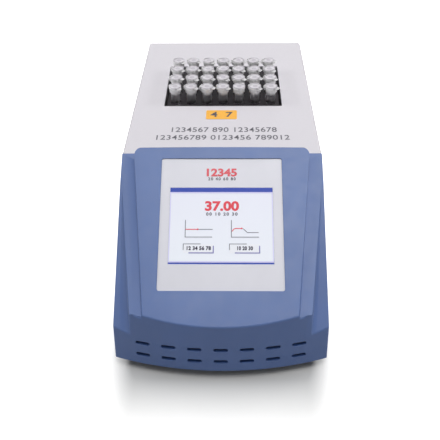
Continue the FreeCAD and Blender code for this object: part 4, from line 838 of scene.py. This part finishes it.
def tubes():
    """Put a copy of the tube in each well, with its own twist and a slight lean."""
    pattern = tube_pattern()
    first_x = -(WELL_COLUMNS - 1) / 2 * COLUMN_PITCH
    for node in sorted(NODES):
        if not node.startswith("tube_"):
            continue
        row = ROW_LETTERS.index(node[5])
        column = int(node[6]) - 1
        x = (first_x + column * COLUMN_PITCH) * MM
        piece = bpy.data.objects.new(node + "_moulding", pattern.data.copy())
        bpy.context.scene.collection.objects.link(piece)
        swing = (row * 5 + column * 3) % 7 - 3
        twist = TURNED_TUBES.get(node, USUAL_TWIST + TWIST_STEP * swing)
        turn = Matrix.Rotation(math.radians(twist), 4, "Z")
        lean = Matrix.Rotation(math.radians(random.uniform(-LEAN, LEAN)), 4, "X")
        tip = Matrix.Rotation(math.radians(random.uniform(-LEAN, LEAN)), 4, "Y")
        y = WELL_ROWS_Y[row]
        place(piece, Matrix.Translation((x, y, TOP_OF_BLOCK)) @ lean @ tip @ turn)
        hand_over(piece, node, "tube", CLOUDY, node)
    bpy.data.objects.remove(pattern)


# Print on the cover, the overlay and the display
def flat_print(name, width, length, middle=(0, 0), corner=0.0, sheet=PRINT_SHEET):
    """A thin printed patch with round corners, about a place on the XY plane."""
    x, y = middle
    piece = cuboid(name, (x - width / 2, y - length / 2, 0), (x + width / 2, y + length / 2, sheet))
    if corner:
        open_mesh(piece)
        pick_edges(piece, lambda a, b: abs(a.z - b.z) > sheet * MM / 2)
        bpy.ops.mesh.bevel(offset=corner * MM, segments=5, affect="EDGES")
        close_mesh()
    return piece


def number(name, text, height, middle, spread=1.0, bold=0.0, width=None):
    """Plain numbers as a thin print about a place on the XY plane, drawn out to a width if it is given."""
    bpy.ops.object.select_all(action="DESELECT")
    bpy.ops.object.text_add()
    piece = bpy.context.object
    piece.name = name
    piece.data.body = text
    piece.data.align_x = "CENTER"
    piece.data.align_y = "CENTER"
    piece.data.size = height / 0.7 * MM
    piece.data.space_character = spread
    piece.data.extrude = PRINT_SHEET / 2 * MM
    piece.data.offset = bold * MM
    piece.data.resolution_u = 6
    bpy.ops.object.convert(target="MESH")
    piece = bpy.context.object
    if width:
        piece.scale.x = width * MM / piece.dimensions.x
    piece.location = (middle[0] * MM, middle[1] * MM, PRINT_SHEET / 2 * MM)
    bpy.ops.object.transform_apply(location=True, rotation=True, scale=True)
    return piece


def stroke(name, points, width):
    """A thin line through points on the XY plane, with one flat patch for each run."""
    pieces = []
    for index, (start, finish) in enumerate(zip(points, points[1:])):
        a, b = Vector(start), Vector(finish)
        run = b - a
        piece = flat_print("%s_%d" % (name, index), run.length + width, width, (0, 0), width * 0.3)
        turn = Matrix.Rotation(math.atan2(run.y, run.x), 4, "Z")
        middle = (a + b) / 2 * MM
        place(piece, Matrix.Translation((middle.x, middle.y, index * 0.004 * MM)) @ turn)
        pieces.append(piece)
    return join(name, pieces)


def thickness(node, direction):
    """How far a solid reaches along a direction, in metres."""
    depths = [Vector(v.co).dot(direction) for v in NODES[node].data.vertices]
    return max(depths) - min(depths)


def hood_matrix(node):
    """The plane of a sheet that lies on the hood: X across, Y up its slope, Z out of it."""
    angle = math.radians(HOOD_ANGLE)
    low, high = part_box(node)
    outward = Vector((0, -math.sin(angle), math.cos(angle)))
    upward = Vector((0, math.cos(angle), math.sin(angle)))
    across = Vector((1, 0, 0))
    top = max((Vector(v.co) for v in NODES[node].data.vertices), key=lambda p: p.z)
    length = (high.z - low.z - math.cos(angle) * thickness(node, outward)) / math.sin(angle)
    centre = Vector((0, top.y, top.z)) - upward * length / 2
    matrix = Matrix((across, upward, outward)).transposed().to_4x4()
    matrix.translation = centre
    return matrix


def cover_print():
    """Plain numbers and a numbered amber patch on the cover's top."""
    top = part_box("rear_cover")[1].z
    deck = Matrix.Translation((0, 0, top + PRINT_LIFT * MM))
    label = flat_print("amber_patch", 25, 15, (-1, 13.5), 1.2, 0.12)
    soften(label, 0.03, 2, 60)
    hand_over(place(label, deck), "housing", "cover", AMBER)
    over_label = Matrix.Translation((0, 0, top + (PRINT_LIFT + 0.14) * MM))
    for name, text, x in (("label_number_rows", "4", -7), ("label_number_columns", "7", 5)):
        piece = number(name, text, 8, (x, 13.3), 1, 0.25)
        hand_over(place(piece, over_label), "housing", "cover", DARK_INK)
    for name, text, middle, height, width in (
            ("cover_numbers_upper", "1234567 890 12345678", (0.7, -11.4), 7.2, 82.2),
            ("cover_numbers_lower", "123456789 0123456 789012", (-0.2, -23.4), 6.9, 102.6)):
        piece = number(name, text, height, middle, 1.05, 0.06, width)
        hand_over(place(piece, deck), "housing", "cover", GREY_INK)


def overlay_print():
    """A plain red number with small numbers under it, above the display."""
    plane = hood_matrix("panel_overlay") @ Matrix.Translation((0, 0, PRINT_LIFT * MM))
    red = number("overlay_red_numbers", "12345", 5.8, (-0.5, 38.6), 1.0, 0.3, 21.9)
    hand_over(place(red, plane), "housing", "overlay", RED_INK)
    small = number("overlay_small_numbers", "20 40 60 80", 2.2, (0.3, 33.7), 1.3, 0.09, 20)
    hand_over(place(small, plane), "housing", "overlay", GREY_INK)


# The display: how far each thing lies below its head, and the sizes that repeat, in millimetres
READING_DROP = 14.8
SMALL_NUMBERS_DROP = 20.7
PLOT_HEAD_DROP = 25.4
PLOT_LINE_DROP = 32.2
PLOT_FOOT_DROP = 38
KEYS_DROP = 46.4
BAR_MARGIN = 0.4
KEY_LENGTH = 21.3
KEY_HEIGHT = 6.6
DOT = 1.2
DOT_ROUNDING = 0.55
THIN_LINE = 0.5
RED_LINE = 0.6
SHADE_LINE = 0.7
# How high a print lies that goes over another, and the numbers over those
OVER = 0.02
OVER_ALL = 0.04


def show(piece, material, lift=0.0):
    """Put a print on the display's face."""
    plane = hood_matrix("touch_glass") @ Matrix.Translation((0, 0, PRINT_LIFT * MM))
    raised = plane @ Matrix.Translation((0, 0, lift * MM))
    hand_over(place(piece, raised), "housing", "screen", material)


def display_bars(width, head, foot):
    """The blue bars at the head and the foot, with the pale glow that borders the ground."""
    length = width - BAR_MARGIN
    show(flat_print("display_head_bar", length, 3.4, (0, head - 1.9)), LIT_BLUE)
    show(flat_print("display_head_glow", length, 1.0, (0, head - 4.1)), LIT_PALE_BLUE)
    show(flat_print("display_foot_glow", length, 0.9, (0, foot + 2.1)), LIT_PALE_BLUE)
    show(flat_print("display_foot_bar", length, 1.2, (0, foot + 0.9)), LIT_BLUE)
    for name, side in (("left", -1), ("right", 1)):
        edge = flat_print("display_glow_" + name, 0.7, head - foot - 6, (side * (width / 2 - 0.6), -1))
        show(edge, LIT_PALE_BLUE)


def display_plots(head):
    """Two plots: a level line on the left, and a rise, a hold and a fall on the right."""
    level = head - PLOT_HEAD_DROP
    floor = head - PLOT_FOOT_DROP
    for name, x, length in (("left", -25.3, 18.8), ("right", 7.2, 19.2)):
        axes = [(x, level), (x, floor), (x + length, floor)]
        show(stroke("display_axes_" + name, axes, THIN_LINE), LIT_GREY)
    middle = head - PLOT_LINE_DROP
    level_line = [(-24.8, middle), (-17.1, middle)]
    show(stroke("display_line_left_set", level_line, RED_LINE), LIT_RED, OVER)
    show(flat_print("display_dot_left", DOT, DOT, (-16.6, middle), DOT_ROUNDING), LIT_RED, OVER)
    show(stroke("display_line_left_rest", [(-16, middle), (-6.2, middle)], THIN_LINE), LIT_GREY)
    rise = [(7.8, head - 33.5), (9, head - 32), (10.1, head - 31.5), (14.4, head - 31.5)]
    show(stroke("display_line_right_set", rise, RED_LINE), LIT_RED, OVER)
    show(flat_print("display_dot_right", DOT, DOT, (14.5, head - 31.5), DOT_ROUNDING), LIT_RED, OVER)
    fall = [(15.6, head - 31.8), (18.5, head - 34.6), (26.1, head - 34.6)]
    show(stroke("display_line_right_rest", fall, THIN_LINE), LIT_GREY)


def display_keys(head):
    """Two numbered keys, each with a shaded edge below and a lighter one above."""
    y = head - KEYS_DROP
    for index, (text, x, length) in enumerate((("12 34 56 78", -15.8, 17), ("10 20 30", 16.5, 11))):
        name = "display_key_%d" % (index + 1)
        show(flat_print(name, KEY_LENGTH, KEY_HEIGHT, (x, y), 0.6), LIT_BUTTON)
        below = [(x - 6.5, y - 3.3), (x + 10.4, y - 3.3), (x + 10.4, y + 1.6)]
        show(stroke(name + "_shade", below, SHADE_LINE), LIT_SHADE, OVER)
        above = [(x - 10.6, y - 1), (x - 10.6, y + 3.3), (x + 1.2, y + 3.3)]
        show(stroke(name + "_edge", above, THIN_LINE), LIT_GREY, OVER)
        show(number(name + "_number", text, 2.6, (x, y), 1.1, 0.2, length), LIT_DARK, OVER_ALL)


def display_print():
    """What the display shows: bars, a reading, two plots and two numbered keys."""
    plane = hood_matrix("touch_glass")
    low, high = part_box("touch_glass")
    width = (high.x - low.x) / MM
    head = thickness("touch_glass", plane.col[1].xyz) / 2 / MM
    display_bars(width, head, -head)
    reading = number("display_reading", "37.00", 6.8, (0.3, head - READING_DROP), 1.0, 0.4, 24.4)
    show(reading, LIT_RED)
    small = number("display_small_numbers", "00 10 20 30", 2.2, (0.4, head - SMALL_NUMBERS_DROP), 1.35, 0.14,
                   22.4)
    show(small, LIT_GREY)
    display_plots(head)
    display_keys(head)


# Stage, lights and camera, in metres and watts
FLOOR_SIZE = 8
# The share of the floor's own white that a glossy surface mirrors
MIRRORED_SHARE = 0.2
# The floor keeps its shadow inside this half box, and past it turns white between two distances
SHADOW_BOX = (0.058, 0.15, 0)
SHADOW_STRETCH = (1, 0.3, 0)
SHADOW_NEAR = 0.006
SHADOW_FAR = 0.029
# The world's level for light on the object, and as the camera and mirrors see it
WORLD_LIGHT = 0.2
WORLD_SEEN = 1
LAMPS = (
    ("overhead_softbox", (0.12, 0.06, 1.2), (0, 0, 0), (1.1, 0.96), 8),
    ("front_softbox", (0.1, -0.5, 1.2), (0, 0, 0), (0.9, 0.5), 1.3),
    ("side_strip", (-1.1, 0.4, 0.8), (0, -0.05, 0.1), (1, 0.12), 6),
    ("side_strip", (1.1, 0.4, 0.8), (0, -0.05, 0.1), (1, 0.12), 6),
)
# The photograph's view, fitted to the corners of the cover and the bezel, in millimetres and degrees
CAMERA_PLACE = (7.8, -479.7, 370.2)
CAMERA_PITCH = 36.93
CAMERA_YAW = -1.29
CAMERA_ROLL = -0.71
FOCAL_PIXELS = 680
FRAME_PIXELS = 440
SENSOR_WIDTH = 36


def distance_past(finish, box, stretch):
    """How far a point lies past a half box about the middle, stretched along its axes."""
    far = finish.coordinates
    for operation, amount in (("ABSOLUTE", None), ("SUBTRACT", box), ("MAXIMUM", (0, 0, 0)),
                              ("MULTIPLY", stretch), ("LENGTH", None)):
        step = finish.add("ShaderNodeVectorMath")
        step.operation = operation
        finish.links.new(far, step.inputs[0])
        if amount:
            step.inputs[1].default_value = amount
        far = step.outputs["Value" if operation == "LENGTH" else "Vector"]
    return far


def stage():
    """A pale floor that looks white away from the shadow and is clear from below."""
    bpy.ops.object.select_all(action="DESELECT")
    bpy.ops.mesh.primitive_plane_add(size=FLOOR_SIZE, location=(0, 0, 0))
    floor = bpy.context.object
    floor.name = "floor"
    finish = Finish("pale_floor", Roughness=0.9, Specular_IOR_Level=0.1)
    tinted(finish, paint(206, 206, 205), 0.004, finish.noise(60, 2))
    rays = finish.add("ShaderNodeLightPath").outputs
    mirrored = finish.calculate("MULTIPLY", rays["Is Glossy Ray"], MIRRORED_SHARE)
    seen = finish.calculate("MAXIMUM", rays["Is Camera Ray"], mirrored)
    far = distance_past(finish, SHADOW_BOX, SHADOW_STRETCH)
    lift = finish.climb(far, SHADOW_NEAR, SHADOW_FAR)
    glow = finish.add("ShaderNodeEmission")
    finish.links.new(finish.calculate("MULTIPLY", seen, lift), glow.inputs["Strength"])
    both = finish.add("ShaderNodeAddShader")
    finish.links.new(finish.shader.outputs[0], both.inputs[0])
    finish.links.new(glow.outputs[0], both.inputs[1])
    from_below = finish.add("ShaderNodeMixShader")
    finish.links.new(finish.add("ShaderNodeNewGeometry").outputs["Backfacing"], from_below.inputs["Fac"])
    finish.links.new(both.outputs[0], from_below.inputs[1])
    finish.links.new(finish.add("ShaderNodeBsdfTransparent").outputs[0], from_below.inputs[2])
    finish.links.new(from_below.outputs[0], finish.output.inputs["Surface"])
    floor.data.materials.append(finish.material)


def world():
    """A white surround that lights the object only a little."""
    scene = bpy.context.scene
    scene.world = bpy.data.worlds.new("studio")
    scene.world.use_nodes = True
    tree = scene.world.node_tree
    back = tree.nodes["Background"]
    rays = tree.nodes.new("ShaderNodeLightPath")
    seen = rays.outputs["Is Camera Ray"]
    for ray in ("Is Glossy Ray", "Is Transmission Ray"):
        either = tree.nodes.new("ShaderNodeMath")
        either.operation = "MAXIMUM"
        tree.links.new(seen, either.inputs[0])
        tree.links.new(rays.outputs[ray], either.inputs[1])
        seen = either.outputs[0]
    level = tree.nodes.new("ShaderNodeMapRange")
    level.inputs["To Min"].default_value = WORLD_LIGHT
    level.inputs["To Max"].default_value = WORLD_SEEN
    tree.links.new(seen, level.inputs["Value"])
    back.inputs["Color"].default_value = (1, 1, 1, 1)
    tree.links.new(level.outputs[0], back.inputs["Strength"])


def lamp(name, location, target, size, power):
    """A rectangular soft light that faces a place."""
    light = bpy.data.lights.new(name, "AREA")
    light.shape = "RECTANGLE"
    light.size, light.size_y = size
    light.energy = power
    holder = bpy.data.objects.new(name, light)
    bpy.context.scene.collection.objects.link(holder)
    holder.location = location
    aim = Vector(target) - Vector(location)
    holder.rotation_euler = aim.to_track_quat("-Z", "Y").to_euler()


def camera():
    """The photograph's view."""
    pitch, yaw, roll = (math.radians(angle) for angle in (CAMERA_PITCH, CAMERA_YAW, CAMERA_ROLL))
    forward = Vector((math.sin(yaw) * math.cos(pitch), math.cos(yaw) * math.cos(pitch), -math.sin(pitch)))
    level = Vector((math.cos(yaw), -math.sin(yaw), 0))
    upright = level.cross(forward)
    right = math.cos(roll) * level + math.sin(roll) * upright
    up = -math.sin(roll) * level + math.cos(roll) * upright
    data = bpy.data.cameras.new("camera")
    data.sensor_width = SENSOR_WIDTH
    data.lens = FOCAL_PIXELS / FRAME_PIXELS * data.sensor_width
    data.clip_start = 0.01
    holder = bpy.data.objects.new("camera", data)
    bpy.context.scene.collection.objects.link(holder)
    matrix = Matrix((right, up, -forward)).transposed().to_4x4()
    matrix.translation = Vector(CAMERA_PLACE) * MM
    holder.matrix_world = matrix
    bpy.context.scene.camera = holder


bpy.context.scene.view_settings.view_transform = "Standard"
camera()
stage()
world()
for settings in LAMPS:
    lamp(*settings)
finish_inner_nodes()
housing()
cross_recesses()
moving_fixtures()
rocker_marks()
heating_block()
tubes()
cover_print()
overlay_print()
display_print()
